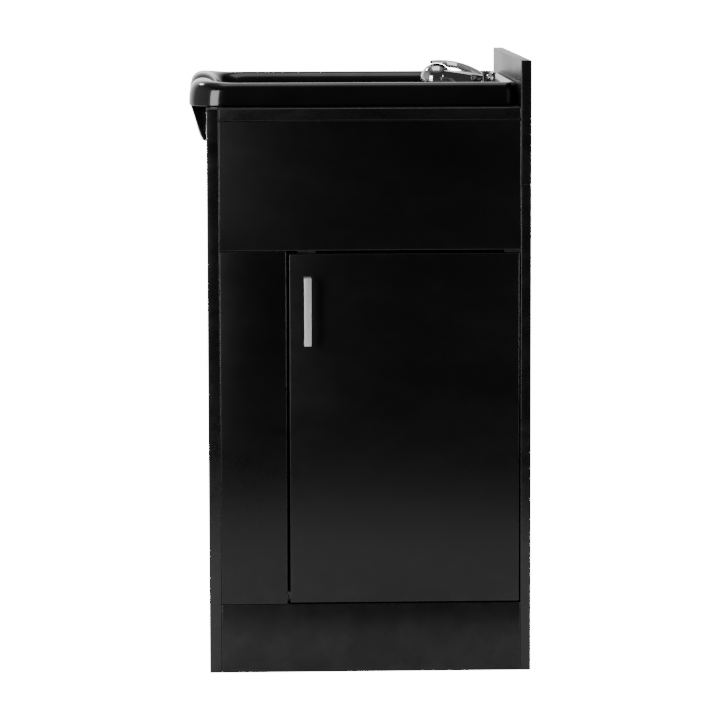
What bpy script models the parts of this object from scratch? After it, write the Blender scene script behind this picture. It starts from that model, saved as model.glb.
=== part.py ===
"""Shampoo backwash unit: a laminated cabinet with a side door, a moulded bowl and a lever mixer.

Axes: +Z up, -X towards the client's neck rest, +X towards the wall, -Y the side with the door.
Every piece is placed from the outer face of the front panel (x = 0), the cabinet's middle
(y = 0) and the floor (z = 0). The empty "unit_frame" then moves them all, so that the origin
is the middle of the overall box, on the floor.
"""
from math import cos, pi, radians, sin, sqrt

import bmesh
import bpy
from mathutils import Matrix, Vector

# Cabinet
CABINET_DEPTH = 0.511
CABINET_WIDTH = 0.6096
DECK_TOP = 0.897
BOARD = 0.01905
BACK_BOARD = 0.0165
SPLASH_RISE = 0.074
SPLASH_DROP = 0.122
APRON_HEIGHT = 0.2045
KICK_HEIGHT = 0.110
STILE_WIDTH = 0.1048
RAIL_HEIGHT = 0.060
BOARD_EDGE = 0.0006

# Clearances
SEAM = 0.0003
DOOR_GAP_LATCH = 0.0048
DOOR_GAP_TOP = 0.0051
DOOR_GAP_BOTTOM = 0.0023
DOOR_GAP_HINGE = 0.0022
HOLE_CLEARANCE = 0.0004

# Door hardware
HANDLE_WIDTH = 0.0112
HANDLE_LENGTH = 0.1077
HANDLE_PROJECTION = 0.030
HANDLE_BAR = 0.0045
HANDLE_LEG = 0.0075
HANDLE_INSET = 0.0285
HANDLE_DROP = 0.0895
SCREW_RADIUS = 0.002
SCREW_BITE = 0.010
HINGE_END_DISTANCE = 0.095
CUP_RADIUS = 0.0175
CUP_DEPTH = 0.0115
CUP_EDGE_DISTANCE = 0.0225
HINGE_PLATE_HEIGHT = 0.046
CATCH_WIDTH = 0.029
STRIKE_THICKNESS = 0.001

# Bowl
BOWL_OVERHANG = 0.0275
BOWL_WIDTH = 0.480
BOWL_REAR_GAP = 0.002
BOWL_WALL = 0.004
FRONT_CORNER = 0.060
REAR_CORNER = 0.020
RIM_HEIGHT = 0.038
LEDGE_DROP = 0.030
LEDGE_LENGTH = 0.144
BASIN_DEPTH = 0.172
NECK_HALF_WIDTH = 0.105
NECK_DROP = 0.055
NECK_LIP_DROP = 0.0686
DRAIN_X = 0.190
DRAIN_RADIUS = 0.0235
DRAIN_SEAT = 0.004
NOTCH_DEPTH = 0.050
CUTOUT_SIDE_MARGIN = 0.028
CUTOUT_REAR_MARGIN = 0.016

# Mixer
MIXER_SETBACK = 0.1145
MIXER_BALL_RISE = 0.0256
DOME_RADIUS = 0.0252
DOME_WALL = 0.0025
BALL_RADIUS = 0.0120
STEM_RADIUS = 0.0040
SLOT_HALF_WIDTH = 0.0048
SLOT_FRONT = 0.0135
BODY_REAR_GAP = 0.036
BODY_HALF_WIDTH = 0.0225
BODY_RISE = 0.0315
LEVER_TOP_RADIUS = 0.1335
LEVER_TOP_RISE = 0.0562
LEVER_HALF_WIDTH = 0.011
SHANK_SPACING = 0.062
SHANK_RADIUS = 0.010
SHANK_LENGTH = 0.055
NUT_HEIGHT = 0.009
NIPPLE_SETBACK = 0.029
NIPPLE_Y = -0.120
NIPPLE_RADIUS = 0.0040
NIPPLE_RISE = 0.0405

# Waste and supplies
PIPE_RADIUS = 0.0190
PIPE_WALL = 0.0025
STRAINER_RADIUS = 0.0220
STRAINER_LENGTH = 0.045
TAILPIECE_LENGTH = 0.075
TRAP_BEND_RADIUS = 0.045
TRAP_DROP = 0.030
ARM_RISE = 0.070
ELBOW_RADIUS = 0.032
VALVE_Y = 0.110
VALVE_Z = 0.400
VALVE_REACH = 0.040
HOSE_RADIUS = 0.006

# Places worked out from the sizes above
BACK_INNER = CABINET_DEPTH - BACK_BOARD
FACE_Y = -CABINET_WIDTH / 2
FACE_BACK_Y = FACE_Y + BOARD
DECK_UNDER = DECK_TOP - BOARD
APRON_BOTTOM = DECK_UNDER - APRON_HEIGHT
SPLASH_TOP = DECK_TOP + SPLASH_RISE
SPLASH_BOTTOM = DECK_TOP - SPLASH_DROP
STILE_END = BOARD + STILE_WIDTH
DOOR_LEFT = STILE_END + DOOR_GAP_LATCH
DOOR_RIGHT = BACK_INNER - DOOR_GAP_HINGE
DOOR_BOTTOM = KICK_HEIGHT + DOOR_GAP_BOTTOM
DOOR_TOP = APRON_BOTTOM - DOOR_GAP_TOP
RIM_TOP = DECK_TOP + RIM_HEIGHT
LEDGE_Z = RIM_TOP - LEDGE_DROP
FLOOR_Z = LEDGE_Z - BASIN_DEPTH
SEAT_Z = FLOOR_Z - DRAIN_SEAT
BOWL_REAR = BACK_INNER - BOWL_REAR_GAP
MIXER_X = BOWL_REAR - MIXER_SETBACK
BODY_REAR_X = BOWL_REAR - BODY_REAR_GAP
NIPPLE_X = BOWL_REAR - NIPPLE_SETBACK
BALL_Z = LEDGE_Z + MIXER_BALL_RISE
ORIGIN_X = (CABINET_DEPTH - BOWL_OVERHANG) / 2
ORIGIN_Y = -HANDLE_PROJECTION / 2

FRONT_CUTS = 14
SIDE_CUTS = 3
CORNER_CUTS = 5
BASIN_ROWS = 7
NOTCH_CUTS = 18


def clear_scene():
    for thing in list(bpy.data.objects):
        bpy.data.objects.remove(thing, do_unlink=True)


def new_collection(name):
    collection = bpy.data.collections.new(name)
    bpy.context.scene.collection.children.link(collection)
    return collection


def new_material(name, colour, roughness, metallic=0.0):
    material = bpy.data.materials.new(name)
    material.use_nodes = True
    shader = material.node_tree.nodes["Principled BSDF"]
    shader.inputs["Base Color"].default_value = (*colour, 1.0)
    shader.inputs["Roughness"].default_value = roughness
    shader.inputs["Metallic"].default_value = metallic
    return material


def add_object(name, data, look):
    piece = bpy.data.objects.new(name, data)
    PARTS.objects.link(piece)
    piece.parent = UNIT_FRAME
    if look:
        colour, roughness, metallic = LOOKS[look]
        data.materials.append(new_material(name, colour, roughness, metallic))
    return piece


def as_cutter(piece):
    PARTS.objects.unlink(piece)
    CUTTERS.objects.link(piece)
    piece.hide_render = True
    piece.display_type = "WIRE"
    return piece


def mesh_from(name, form):
    mesh = bpy.data.meshes.new(name)
    bmesh.ops.recalc_face_normals(form, faces=form.faces)
    form.to_mesh(mesh)
    form.free()
    return mesh


def box(name, low, high, look=None):
    """A box from its lowest corner to its highest."""
    low, high = Vector(low), Vector(high)
    form = bmesh.new()
    bmesh.ops.create_cube(form, size=1.0)
    bmesh.ops.scale(form, vec=high - low, verts=form.verts)
    piece = add_object(name, mesh_from(name, form), look)
    piece.location = (low + high) / 2
    return piece


def bevel(piece, width, segments=1):
    edge = piece.modifiers.new("Edge", "BEVEL")
    edge.width = width
    edge.segments = segments
    edge.limit_method = "ANGLE"
    return piece


def board(name, low, high):
    return bevel(box(name, low, high, "laminate"), BOARD_EDGE)


def turn_to(axis):
    return Vector((0, 0, 1)).rotation_difference(Vector(axis)).to_euler()


def cylinder(name, base, axis, length, radius, look=None, sides=24):
    """A cylinder from the middle of its base along an axis."""
    form = bmesh.new()
    bmesh.ops.create_cone(form, cap_ends=True, segments=sides, radius1=radius, radius2=radius, depth=length)
    bmesh.ops.translate(form, vec=(0, 0, length / 2), verts=form.verts)
    piece = add_object(name, mesh_from(name, form), look)
    piece.location = base
    piece.rotation_euler = turn_to(axis)
    return piece


def turned(name, base, axis, profile, look, sides=28):
    """A closed profile of (radius, height) points turned about an axis."""
    form = bmesh.new()
    ring = [form.verts.new((radius, 0, height)) for radius, height in profile]
    edges = [form.edges.new((ring[i], ring[(i + 1) % len(ring)])) for i in range(len(ring))]
    bmesh.ops.spin(form, geom=ring + edges, cent=(0, 0, 0), axis=(0, 0, 1), angle=2 * pi,
                   steps=sides, use_merge=True)
    bmesh.ops.remove_doubles(form, verts=form.verts, dist=0.00001)
    flat = [face for face in form.faces if face.calc_area() < 1e-12]
    bmesh.ops.delete(form, geom=flat, context="FACES")
    piece = add_object(name, mesh_from(name, form), look)
    piece.location = base
    piece.rotation_euler = turn_to(axis)
    return piece


def slab(name, outline, push, look=None):
    """A flat outline pushed out to a thickness."""
    form = bmesh.new()
    side = form.faces.new([form.verts.new(point) for point in outline])
    pushed = bmesh.ops.extrude_face_region(form, geom=[side])["geom"]
    moved = [item for item in pushed if isinstance(item, bmesh.types.BMVert)]
    bmesh.ops.translate(form, vec=push, verts=moved)
    return add_object(name, mesh_from(name, form), look)


def cut(piece, cutter, operation="DIFFERENCE"):
    step = piece.modifiers.new("Cut", "BOOLEAN")
    step.operation = operation
    step.solver = "EXACT"
    step.object = as_cutter(cutter)
    return piece


def tube(name, points, radius, look, wall=None, resolution=3):
    """A tube along a smooth route: hollow with open ends, or solid where no wall is given."""
    curve = bpy.data.curves.new(name, "CURVE")
    curve.dimensions = "3D"
    curve.bevel_depth = radius
    curve.bevel_resolution = resolution
    curve.use_fill_caps = wall is None
    route = curve.splines.new("POLY")
    route.points.add(len(points) - 1)
    for point, place in zip(route.points, points):
        point.co = (*place, 1.0)
    piece = add_object(name, curve, look)
    if wall is not None:
        skin = piece.modifiers.new("Wall", "SOLIDIFY")
        skin.thickness = wall
        skin.offset = -1.0
    return piece


# The cabinet's boards


def make_front_panel():
    """The client's side of the cabinet, with a dip in its top edge that follows the neck rest."""
    front = board("front_panel", (0, FACE_Y, 0), (BOARD, -FACE_Y, DECK_TOP))
    above = DECK_TOP + NOTCH_DEPTH
    outline = [Vector((-BOARD, NECK_HALF_WIDTH, above)), Vector((-BOARD, -NECK_HALF_WIDTH, above))]
    for step in range(NOTCH_CUTS + 1):
        across = -NECK_HALF_WIDTH + 2 * NECK_HALF_WIDTH * step / NOTCH_CUTS
        outline.append(Vector((-BOARD, across, DECK_TOP - NOTCH_DEPTH * neck_shape(across))))
    cut(front, slab("neck_notch", outline, (3 * BOARD, 0, 0)))


def make_deck():
    deck = board("deck_board", (BOARD + SEAM, FACE_Y, DECK_UNDER), (BACK_INNER - SEAM, -FACE_Y, DECK_TOP))
    half = BOWL_WIDTH / 2 - CUTOUT_SIDE_MARGIN
    rear = BOWL_REAR - CUTOUT_REAR_MARGIN
    cutout = box("bowl_cutout", (-BOARD, -half, DECK_UNDER - BOARD), (rear, half, DECK_TOP + BOARD))
    cut(deck, cutout)


def make_cabinet():
    make_front_panel()
    make_deck()
    low_x, high_x = BOARD + SEAM, BACK_INNER - SEAM
    far_inner = -FACE_Y - BOARD
    under = DECK_UNDER - SEAM
    board("back_panel", (BACK_INNER, FACE_Y, 0), (CABINET_DEPTH, -FACE_Y, SPLASH_BOTTOM - SEAM))
    board("backsplash", (BACK_INNER, FACE_Y, SPLASH_BOTTOM), (CABINET_DEPTH, -FACE_Y, SPLASH_TOP))
    board("apron_panel", (low_x, FACE_Y, APRON_BOTTOM), (high_x, FACE_BACK_Y, under))
    board("stile_panel", (low_x, FACE_Y, KICK_HEIGHT + SEAM), (STILE_END, FACE_BACK_Y, APRON_BOTTOM - SEAM))
    board("kick_panel", (low_x, FACE_Y, 0), (high_x, FACE_BACK_Y, KICK_HEIGHT))
    board("far_side_panel", (low_x, far_inner, 0), (high_x, -FACE_Y, under))
    shelf = KICK_HEIGHT - SEAM
    board("bottom_shelf", (low_x, FACE_BACK_Y + SEAM, shelf - BOARD), (high_x, far_inner - SEAM, shelf))
    rail = under - RAIL_HEIGHT
    board("deck_rail_near", (low_x, FACE_BACK_Y + SEAM, rail), (high_x, FACE_BACK_Y + BOARD, under))
    board("deck_rail_far", (low_x, far_inner - BOARD, rail), (high_x, far_inner - SEAM, under))
    rail_end = FACE_BACK_Y + BOARD + SEAM
    board("joining_rail", (high_x - BOARD, rail_end, SPLASH_BOTTOM - RAIL_HEIGHT),
          (high_x, -rail_end, SPLASH_BOTTOM + RAIL_HEIGHT / 2))
    cut(PARTS.objects["back_panel"], waste_cutter("waste_hole"))


# The door and its hardware


def handle_centre():
    return Vector((DOOR_LEFT + HANDLE_INSET, FACE_Y, DOOR_TOP - HANDLE_DROP))


def handle_screw_places():
    reach = Vector((0, 0, (HANDLE_LENGTH - HANDLE_LEG) / 2))
    return {"upper": handle_centre() + reach, "lower": handle_centre() - reach}


def hinge_heights():
    return {"upper": DOOR_TOP - HINGE_END_DISTANCE, "lower": DOOR_BOTTOM + HINGE_END_DISTANCE}


def make_door():
    door = board("door", (DOOR_LEFT, FACE_Y, DOOR_BOTTOM), (DOOR_RIGHT, FACE_BACK_Y, DOOR_TOP))
    for level, height in hinge_heights().items():
        depth = CUP_DEPTH + HOLE_CLEARANCE
        base = (DOOR_RIGHT - CUP_EDGE_DISTANCE, FACE_BACK_Y - depth, height)
        cut(door, cylinder("cup_pocket_" + level, base, (0, 1, 0), 2 * depth, CUP_RADIUS + HOLE_CLEARANCE))
    for level, place in handle_screw_places().items():
        base = place - Vector((0, BOARD, 0))
        bore = SCREW_RADIUS + HOLE_CLEARANCE
        cut(door, cylinder("screw_hole_" + level, base, (0, 1, 0), 3 * BOARD, bore, sides=12))


def make_handle():
    centre = handle_centre()
    half = Vector((HANDLE_WIDTH / 2, 0, HANDLE_LENGTH / 2))
    front = centre - Vector((0, HANDLE_PROJECTION, 0))
    handle = box("door_handle", front - half, centre + half - Vector((0, SEAM, 0)), "satin_metal")
    opening = Vector((HANDLE_WIDTH, 0, HANDLE_LENGTH / 2 - HANDLE_LEG))
    gap_front = front + Vector((0, HANDLE_BAR, 0)) - opening
    cut(handle, box("finger_gap", gap_front, centre + Vector((0, BOARD, 0)) + opening))
    bevel(handle, 0.0008)
    for level, place in handle_screw_places().items():
        bite = SCREW_BITE + HOLE_CLEARANCE
        cut(handle, cylinder("thread_" + level, place - Vector((0, bite, 0)), (0, 1, 0), 2 * bite,
                             SCREW_RADIUS + HOLE_CLEARANCE, sides=12))
        length = BOARD + SCREW_BITE
        head = 0.0022
        profile = [(0, 0), (SCREW_RADIUS, 0), (SCREW_RADIUS, length + SEAM), (0.0042, length + SEAM),
                   (0.0036, length + SEAM + head), (0, length + SEAM + head)]
        turned("handle_screw_" + level, place - Vector((0, SCREW_BITE, 0)), (0, 1, 0), profile, "steel", 12)


def make_hinges():
    for level, height in hinge_heights().items():
        centre_x = DOOR_RIGHT - CUP_EDGE_DISTANCE
        sheet = 0.0012
        seat = CUP_DEPTH + SEAM
        inner, rim = CUP_RADIUS - 0.002, CUP_RADIUS + 0.003
        profile = [(0, 0), (CUP_RADIUS, 0), (CUP_RADIUS, seat), (rim, seat), (rim, seat + sheet),
                   (inner, seat + sheet), (inner, sheet), (0, sheet)]
        floor = (centre_x, FACE_BACK_Y - CUP_DEPTH, height)
        turned("hinge_cup_" + level, floor, (0, 1, 0), profile, "nickel")
        half = Vector((0, 0, HINGE_PLATE_HEIGHT / 2))
        plate_front = Vector((BACK_INNER - SEAM - 0.003, FACE_BACK_Y + 0.022, height))
        plate_rear = Vector((BACK_INNER - SEAM, FACE_BACK_Y + 0.052, height))
        bevel(box("hinge_plate_" + level, plate_front - half, plate_rear + half, "nickel"), 0.0008)
        arm_half = Vector((0, 0, 0.0085))
        arm_front = Vector((plate_front.x - SEAM - 0.0105, FACE_BACK_Y + 0.003, height))
        arm_rear = Vector((plate_front.x - SEAM, FACE_BACK_Y + 0.064, height))
        bevel(box("hinge_arm_" + level, arm_front - arm_half, arm_rear + arm_half, "nickel"), 0.001)


def make_catches():
    clear = STRIKE_THICKNESS + 2 * SEAM
    upper_left = DOOR_LEFT + 0.0135
    upper_right = upper_left + CATCH_WIDTH
    upper = box("catch_upper", (upper_left, FACE_BACK_Y + SEAM, DOOR_TOP - 0.012),
                (upper_right, FACE_BACK_Y + 0.016, APRON_BOTTOM + 0.018), "nickel")
    cut(upper, box("catch_step", (upper_left - BOARD, FACE_BACK_Y - BOARD, DOOR_TOP - BOARD),
                   (upper_right + BOARD, FACE_BACK_Y + clear, APRON_BOTTOM)))
    box("strike_upper", (upper_left + 0.003, FACE_BACK_Y + SEAM, DOOR_TOP - 0.013),
        (upper_right - 0.003, FACE_BACK_Y + STRIKE_THICKNESS, DOOR_TOP - 0.001), "steel")
    lower_left = STILE_END - 0.016
    shelf_top = KICK_HEIGHT
    bevel(box("catch_lower", (lower_left, FACE_BACK_Y + clear, shelf_top),
              (lower_left + 0.042, FACE_BACK_Y + 0.022, shelf_top + 0.018), "white_plastic"), 0.001)
    box("strike_lower", (DOOR_LEFT + 0.003, FACE_BACK_Y + SEAM, DOOR_BOTTOM + 0.001),
        (lower_left + 0.042, FACE_BACK_Y + STRIKE_THICKNESS, shelf_top + 0.016), "steel")
    bracket_reach = 0.025
    sheet = 0.002
    corner_x = BACK_INNER - SEAM
    corner_y = FACE_BACK_Y + SEAM
    bracket = box("corner_bracket", (corner_x - bracket_reach, corner_y, DOOR_TOP - 0.006),
                  (corner_x, corner_y + bracket_reach, APRON_BOTTOM + 0.030), "steel")
    cut(bracket, box("bracket_inside", (corner_x - 2 * bracket_reach, corner_y + sheet, DOOR_TOP - BOARD),
                     (corner_x - sheet, corner_y + 2 * bracket_reach, APRON_BOTTOM + 2 * bracket_reach)))


# The bowl


def rounded_ring(x_front, x_rear, half_width, front_radius, rear_radius):
    """Points round a rectangle with round corners, counted anticlockwise from above."""
    corners = [(x_front + front_radius, -half_width + front_radius, front_radius, 180),
               (x_rear - rear_radius, -half_width + rear_radius, rear_radius, 270),
               (x_rear - rear_radius, half_width - rear_radius, rear_radius, 0),
               (x_front + front_radius, half_width - front_radius, front_radius, 90)]
    arcs = []
    for centre_x, centre_y, radius, start in corners:
        turns = [radians(start + 90 * step / CORNER_CUTS) for step in range(CORNER_CUTS + 1)]
        arcs.append([Vector((centre_x + radius * cos(a), centre_y + radius * sin(a), 0)) for a in turns])
    points = []
    for arc, following in zip(arcs[:3], arcs[1:]):
        points += arc
        points += [arc[-1].lerp(following[0], step / SIDE_CUTS) for step in range(1, SIDE_CUTS)]
    points += arcs[3]
    for step in range(FRONT_CUTS + 1):
        points.append(Vector((x_front, NECK_HALF_WIDTH * (1 - 2 * step / FRONT_CUTS), 0)))
    return points


def neck_shape(across):
    """How deep the neck dip is at a distance from the middle, from 0 to 1."""
    if abs(across) >= NECK_HALF_WIDTH:
        return 0.0
    return cos(pi * across / (2 * NECK_HALF_WIDTH)) ** 2


def neck_weight(point):
    return neck_shape(point.y) if point.x < DRAIN_X else 0.0


def rim_row(front_inset, inset, rear_inset, height, dip, tuck=0.0):
    """One line round the rim, set in from the outside, with its dip and backward tuck at the neck."""
    front_radius = max(FRONT_CORNER - 0.6 * inset, 0.012)
    rear_radius = max(REAR_CORNER - 0.4 * rear_inset, 0.008)
    ring = rounded_ring(-BOWL_OVERHANG + front_inset, BOWL_REAR - rear_inset, BOWL_WIDTH / 2 - inset,
                        front_radius, rear_radius)
    for point in ring:
        weight = neck_weight(point)
        point.z = height - dip * weight
        point.x += tuck * weight
    return ring


def mouth_row(inset, height, dip):
    """The basin's mouth, which stops short of the bowl's back to leave the mixer's ledge."""
    rear = BOWL_REAR - LEDGE_LENGTH - inset
    half_width = BOWL_WIDTH / 2 - 0.044 - inset
    front_radius = min(0.085, half_width - NECK_HALF_WIDTH)
    ring = rounded_ring(BOARD + 0.009 + inset, rear, half_width, front_radius, 0.075)
    for point in ring:
        point.z = height - dip * neck_weight(point)
    return ring


def circle_row(like, radius, height):
    """A circle round the drain whose points face those of another line."""
    centre = Vector((DRAIN_X, 0, height))
    ring = []
    for point in like:
        away = Vector((point.x - centre.x, point.y, 0)).normalized()
        ring.append(centre + radius * away)
    return ring


def bowl_rows():
    skirt_bottom = DECK_TOP + 2 * SEAM
    lip_tuck = BOWL_OVERHANG - BOWL_WALL - 4 * SEAM
    rows = [rim_row(0.0000, 0.0000, 0.0000, skirt_bottom, NECK_LIP_DROP, lip_tuck),
            rim_row(0.0000, 0.0000, 0.0000, skirt_bottom + 0.005, NECK_LIP_DROP - 0.006, 0.70 * lip_tuck),
            rim_row(0.0000, 0.0000, 0.0000, skirt_bottom + 0.010, NECK_LIP_DROP - 0.016, 0.56 * lip_tuck),
            rim_row(0.0012, 0.0004, 0.0002, RIM_TOP - 0.017, 0.0458, 0.0074),
            rim_row(0.0045, 0.0016, 0.0006, RIM_TOP - 0.009, 0.049, 0.001),
            rim_row(0.0130, 0.0055, 0.0022, RIM_TOP - 0.002, 0.052),
            rim_row(0.0260, 0.0120, 0.0050, RIM_TOP, NECK_DROP),
            rim_row(0.0380, 0.0185, 0.0085, RIM_TOP - 0.003, NECK_DROP),
            rim_row(0.0455, 0.0240, 0.0125, RIM_TOP - 0.010, NECK_DROP - 0.006),
            rim_row(0.0500, 0.0290, 0.0160, LEDGE_Z + 0.004, 0.034),
            rim_row(0.0530, 0.0350, 0.0200, LEDGE_Z, 0.032),
            mouth_row(0.000, LEDGE_Z - 0.001, 0.034),
            mouth_row(0.006, LEDGE_Z - 0.005, 0.033)]
    mouth = rows[-1]
    floor = circle_row(mouth, 0.045, FLOOR_Z)
    for step in range(1, BASIN_ROWS):
        turn = pi / 2 * step / BASIN_ROWS
        spread, depth = cos(turn) ** 0.6, sin(turn) ** 0.75
        row = []
        for high, low in zip(mouth, floor):
            point = low.lerp(high, spread)
            point.z = high.z + (FLOOR_Z - high.z) * depth
            row.append(point)
        rows.append(row)
    rows.append(floor)
    rows.append(circle_row(mouth, 0.033, SEAT_Z))
    rows.append(circle_row(mouth, DRAIN_RADIUS, SEAT_Z))
    return rows


def make_bowl():
    form = bmesh.new()
    rows = [[form.verts.new(point) for point in row] for row in bowl_rows()]
    count = len(rows[0])
    for lower, upper in zip(rows, rows[1:]):
        for here in range(count):
            after = (here + 1) % count
            form.faces.new((lower[here], lower[after], upper[after], upper[here]))
    mesh = bpy.data.meshes.new("bowl")
    form.to_mesh(mesh)
    form.free()
    bowl = add_object("bowl", mesh, "bowl_plastic")
    skin = bowl.modifiers.new("Wall", "SOLIDIFY")
    skin.thickness = BOWL_WALL
    skin.offset = -1.0
    for name, place in shank_places().items():
        base = (place, 0, LEDGE_Z - 0.020)
        cut(bowl, cylinder("ledge_hole_" + name, base, (0, 0, 1), 0.040, SHANK_RADIUS + HOLE_CLEARANCE))
    cut(bowl, cylinder("nipple_hole", (NIPPLE_X, NIPPLE_Y, LEDGE_Z - 0.020), (0, 0, 1), 0.040,
                       NIPPLE_RADIUS + HOLE_CLEARANCE, sides=16))
    mesh.shade_smooth()


# The mixer


def shank_places():
    return {"cold": MIXER_X, "hot": MIXER_X + SHANK_SPACING}


def capsule(name, x_low, x_high, half_width, z_low, z_high, look=None):
    """An upright block with half-round ends."""
    form = bmesh.new()
    bmesh.ops.create_cone(form, cap_ends=True, segments=28, radius1=half_width, radius2=half_width,
                          depth=z_high - z_low)
    stretch = (x_high - x_low) / 2 - half_width
    for vert in form.verts:
        vert.co.x += stretch if vert.co.x > 0 else -stretch
    piece = add_object(name, mesh_from(name, form), look)
    piece.location = ((x_low + x_high) / 2, 0, (z_low + z_high) / 2)
    return piece


def ball(name, centre, radius, look=None, rows=12):
    form = bmesh.new()
    bmesh.ops.create_uvsphere(form, u_segments=2 * rows, v_segments=rows, radius=radius)
    piece = add_object(name, mesh_from(name, form), look)
    piece.location = centre
    return piece


def nut(name, place, across, bore, height, look, sides=6):
    """A nut with flat sides round a bore, standing on its place."""
    body = cylinder(name, place, (0, 0, 1), height, across / (2 * cos(pi / sides)), look, sides)
    below = Vector(place) - Vector((0, 0, height))
    return cut(body, cylinder(name + "_bore", below, (0, 0, 1), 3 * height, bore + HOLE_CLEARANCE))


def make_mixer_body():
    body = capsule("mixer_body", MIXER_X - DOME_RADIUS, BODY_REAR_X, BODY_HALF_WIDTH,
                   LEDGE_Z + 0.004, LEDGE_Z + BODY_RISE, "chrome")
    foot = capsule("mixer_foot", MIXER_X - DOME_RADIUS - 0.002, BODY_REAR_X + 0.003, BODY_HALF_WIDTH + 0.004,
                   LEDGE_Z + SEAM, LEDGE_Z + 0.006)
    cut(body, foot, "UNION")
    collar = cylinder("mixer_collar", (MIXER_X, 0, LEDGE_Z + 0.005), (0, 0, 1), BALL_Z - LEDGE_Z - 0.0055,
                      DOME_RADIUS, sides=32)
    cut(body, collar, "UNION")
    seat = (MIXER_X, 0, BALL_Z - 0.0005)
    cut(body, cylinder("dome_space", seat, (0, 0, 1), 2 * DOME_RADIUS, DOME_RADIUS + 0.001, sides=32))
    cut(body, ball("ball_seat", (MIXER_X, 0, BALL_Z), BALL_RADIUS + HOLE_CLEARANCE))


def make_dome():
    centre = (MIXER_X, 0, BALL_Z)
    dome = ball("mixer_dome", centre, DOME_RADIUS, "chrome", 14)
    cut(dome, ball("dome_inside", centre, DOME_RADIUS - DOME_WALL, rows=10))
    cut(dome, box("dome_floor", (MIXER_X - 0.05, -0.05, BALL_Z - 0.05), (MIXER_X + 0.05, 0.05, BALL_Z)))
    slot_low = (MIXER_X - SLOT_FRONT, -SLOT_HALF_WIDTH, BALL_Z + 0.010)
    slot_high = (MIXER_X + SLOT_HALF_WIDTH, SLOT_HALF_WIDTH, BALL_Z + 2 * DOME_RADIUS)
    cut(dome, box("lever_slot", slot_low, slot_high))


def lever_outline():
    """Side view of the lever about the ball's middle, as (x, z) points."""
    crown_x = 0.005
    crown_z = LEVER_TOP_RISE - MIXER_BALL_RISE - LEVER_TOP_RADIUS
    clear = DOME_RADIUS + 2 * SEAM
    top = []
    for step in range(9):
        x = -0.0108 + (0.0765 + 0.0108) * step / 8
        top.append((x, crown_z + sqrt(LEVER_TOP_RADIUS ** 2 - (x - crown_x) ** 2)))
    under = [(0.0755, 0.0066), (0.0450, 0.0115), (0.0330, 0.0165)]
    for step in range(5):
        turn = radians(46 + 60 * step / 4)
        under.append((clear * cos(turn), clear * sin(turn)))
    return top + under


def make_lever():
    outline = [Vector((x, -LEVER_HALF_WIDTH, z)) for x, z in lever_outline()]
    lever = slab("mixer_lever", outline, (0, 2 * LEVER_HALF_WIDTH, 0), "chrome")
    lever.location = (MIXER_X, 0, BALL_Z)
    bevel(lever, 0.0006)
    core = ball("mixer_ball", (MIXER_X, 0, BALL_Z), BALL_RADIUS, "steel", 9)
    stem = cylinder("ball_stem", (MIXER_X, 0, BALL_Z), (0, 0, 1), DOME_RADIUS - SEAM, STEM_RADIUS, sides=16)
    cut(core, stem, "UNION")


def make_mixer():
    under_ledge = LEDGE_Z - BOWL_WALL - 0.001
    make_mixer_body()
    make_dome()
    make_lever()
    for name, place in shank_places().items():
        cylinder("mixer_shank_" + name, (place, 0, LEDGE_Z), (0, 0, -1), SHANK_LENGTH, SHANK_RADIUS, "brass")
        base = (place, 0, under_ledge - NUT_HEIGHT)
        nut("shank_nut_" + name, base, 0.032, SHANK_RADIUS, NUT_HEIGHT, "brass")
    cap = NIPPLE_RISE - 0.0036
    neck, brim = NIPPLE_RADIUS - 0.0006, NIPPLE_RADIUS + 0.0004
    profile = [(0, -0.030), (NIPPLE_RADIUS, -0.030), (NIPPLE_RADIUS, SEAM), (0.0075, SEAM), (0.0065, 0.003),
               (neck, 0.004), (neck, cap), (brim, cap), (brim, NIPPLE_RISE), (0, NIPPLE_RISE)]
    turned("spray_nipple", (NIPPLE_X, NIPPLE_Y, LEDGE_Z), (0, 0, 1), profile, "chrome", 16)
    nut("nipple_nut", (NIPPLE_X, NIPPLE_Y, under_ledge - 0.005), 0.0145, NIPPLE_RADIUS, 0.005, "brass")


# The waste


def strainer_bottom():
    return SEAT_Z - STRAINER_LENGTH


def arm_height():
    return strainer_bottom() - TAILPIECE_LENGTH - TRAP_DROP + ARM_RISE + ELBOW_RADIUS


def waste_cutter(name):
    return cylinder(name, (BACK_INNER - BOARD, 0, arm_height()), (1, 0, 0), 3 * BOARD, PIPE_RADIUS + 0.003)


def make_strainer():
    lip = 0.0030
    length = STRAINER_LENGTH
    inner = STRAINER_RADIUS - 0.003
    profile = [(0, 0), (0, -lip), (inner, -lip), (inner, -length), (STRAINER_RADIUS, -length),
               (STRAINER_RADIUS, -lip), (0.0315, -lip), (0.0315, -lip + 0.001), (0.029, 0)]
    top = (DRAIN_X, 0, SEAT_Z + lip + SEAM)
    strainer = turned("drain_strainer", top, (0, 0, 1), profile, "stainless", 32)
    for step in range(6):
        turn = radians(60 * step)
        base = (DRAIN_X + 0.0115 * cos(turn), 0.0115 * sin(turn), SEAT_Z - 0.010)
        cut(strainer, cylinder("strainer_hole", base, (0, 0, 1), 0.030, 0.0032, sides=12))
    inner = STRAINER_RADIUS + HOLE_CLEARANCE
    top = SEAT_Z - BOWL_WALL - 0.001
    profile = [(inner, 0), (0.032, 0), (0.032, 0.003), (inner, 0.003)]
    turned("drain_washer", (DRAIN_X, 0, top - 0.003), (0, 0, 1), profile, "rubber", 24)
    nut("drain_nut", (DRAIN_X, 0, top - 0.0035 - 0.010), 0.058, STRAINER_RADIUS, 0.010, "white_plastic", 8)


def slip_nut(name, place, bore, neck):
    """A hand nut that closes round a pipe's end, from a wide bore above to a narrow neck below."""
    profile = [(neck, 0), (bore + 0.002, 0), (bore + 0.006, 0.005), (bore + 0.006, 0.022), (bore, 0.022),
               (bore, 0.008), (neck, 0.008)]
    return turned(name, place, (0, 0, 1), profile, "white_plastic", 20)


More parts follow.
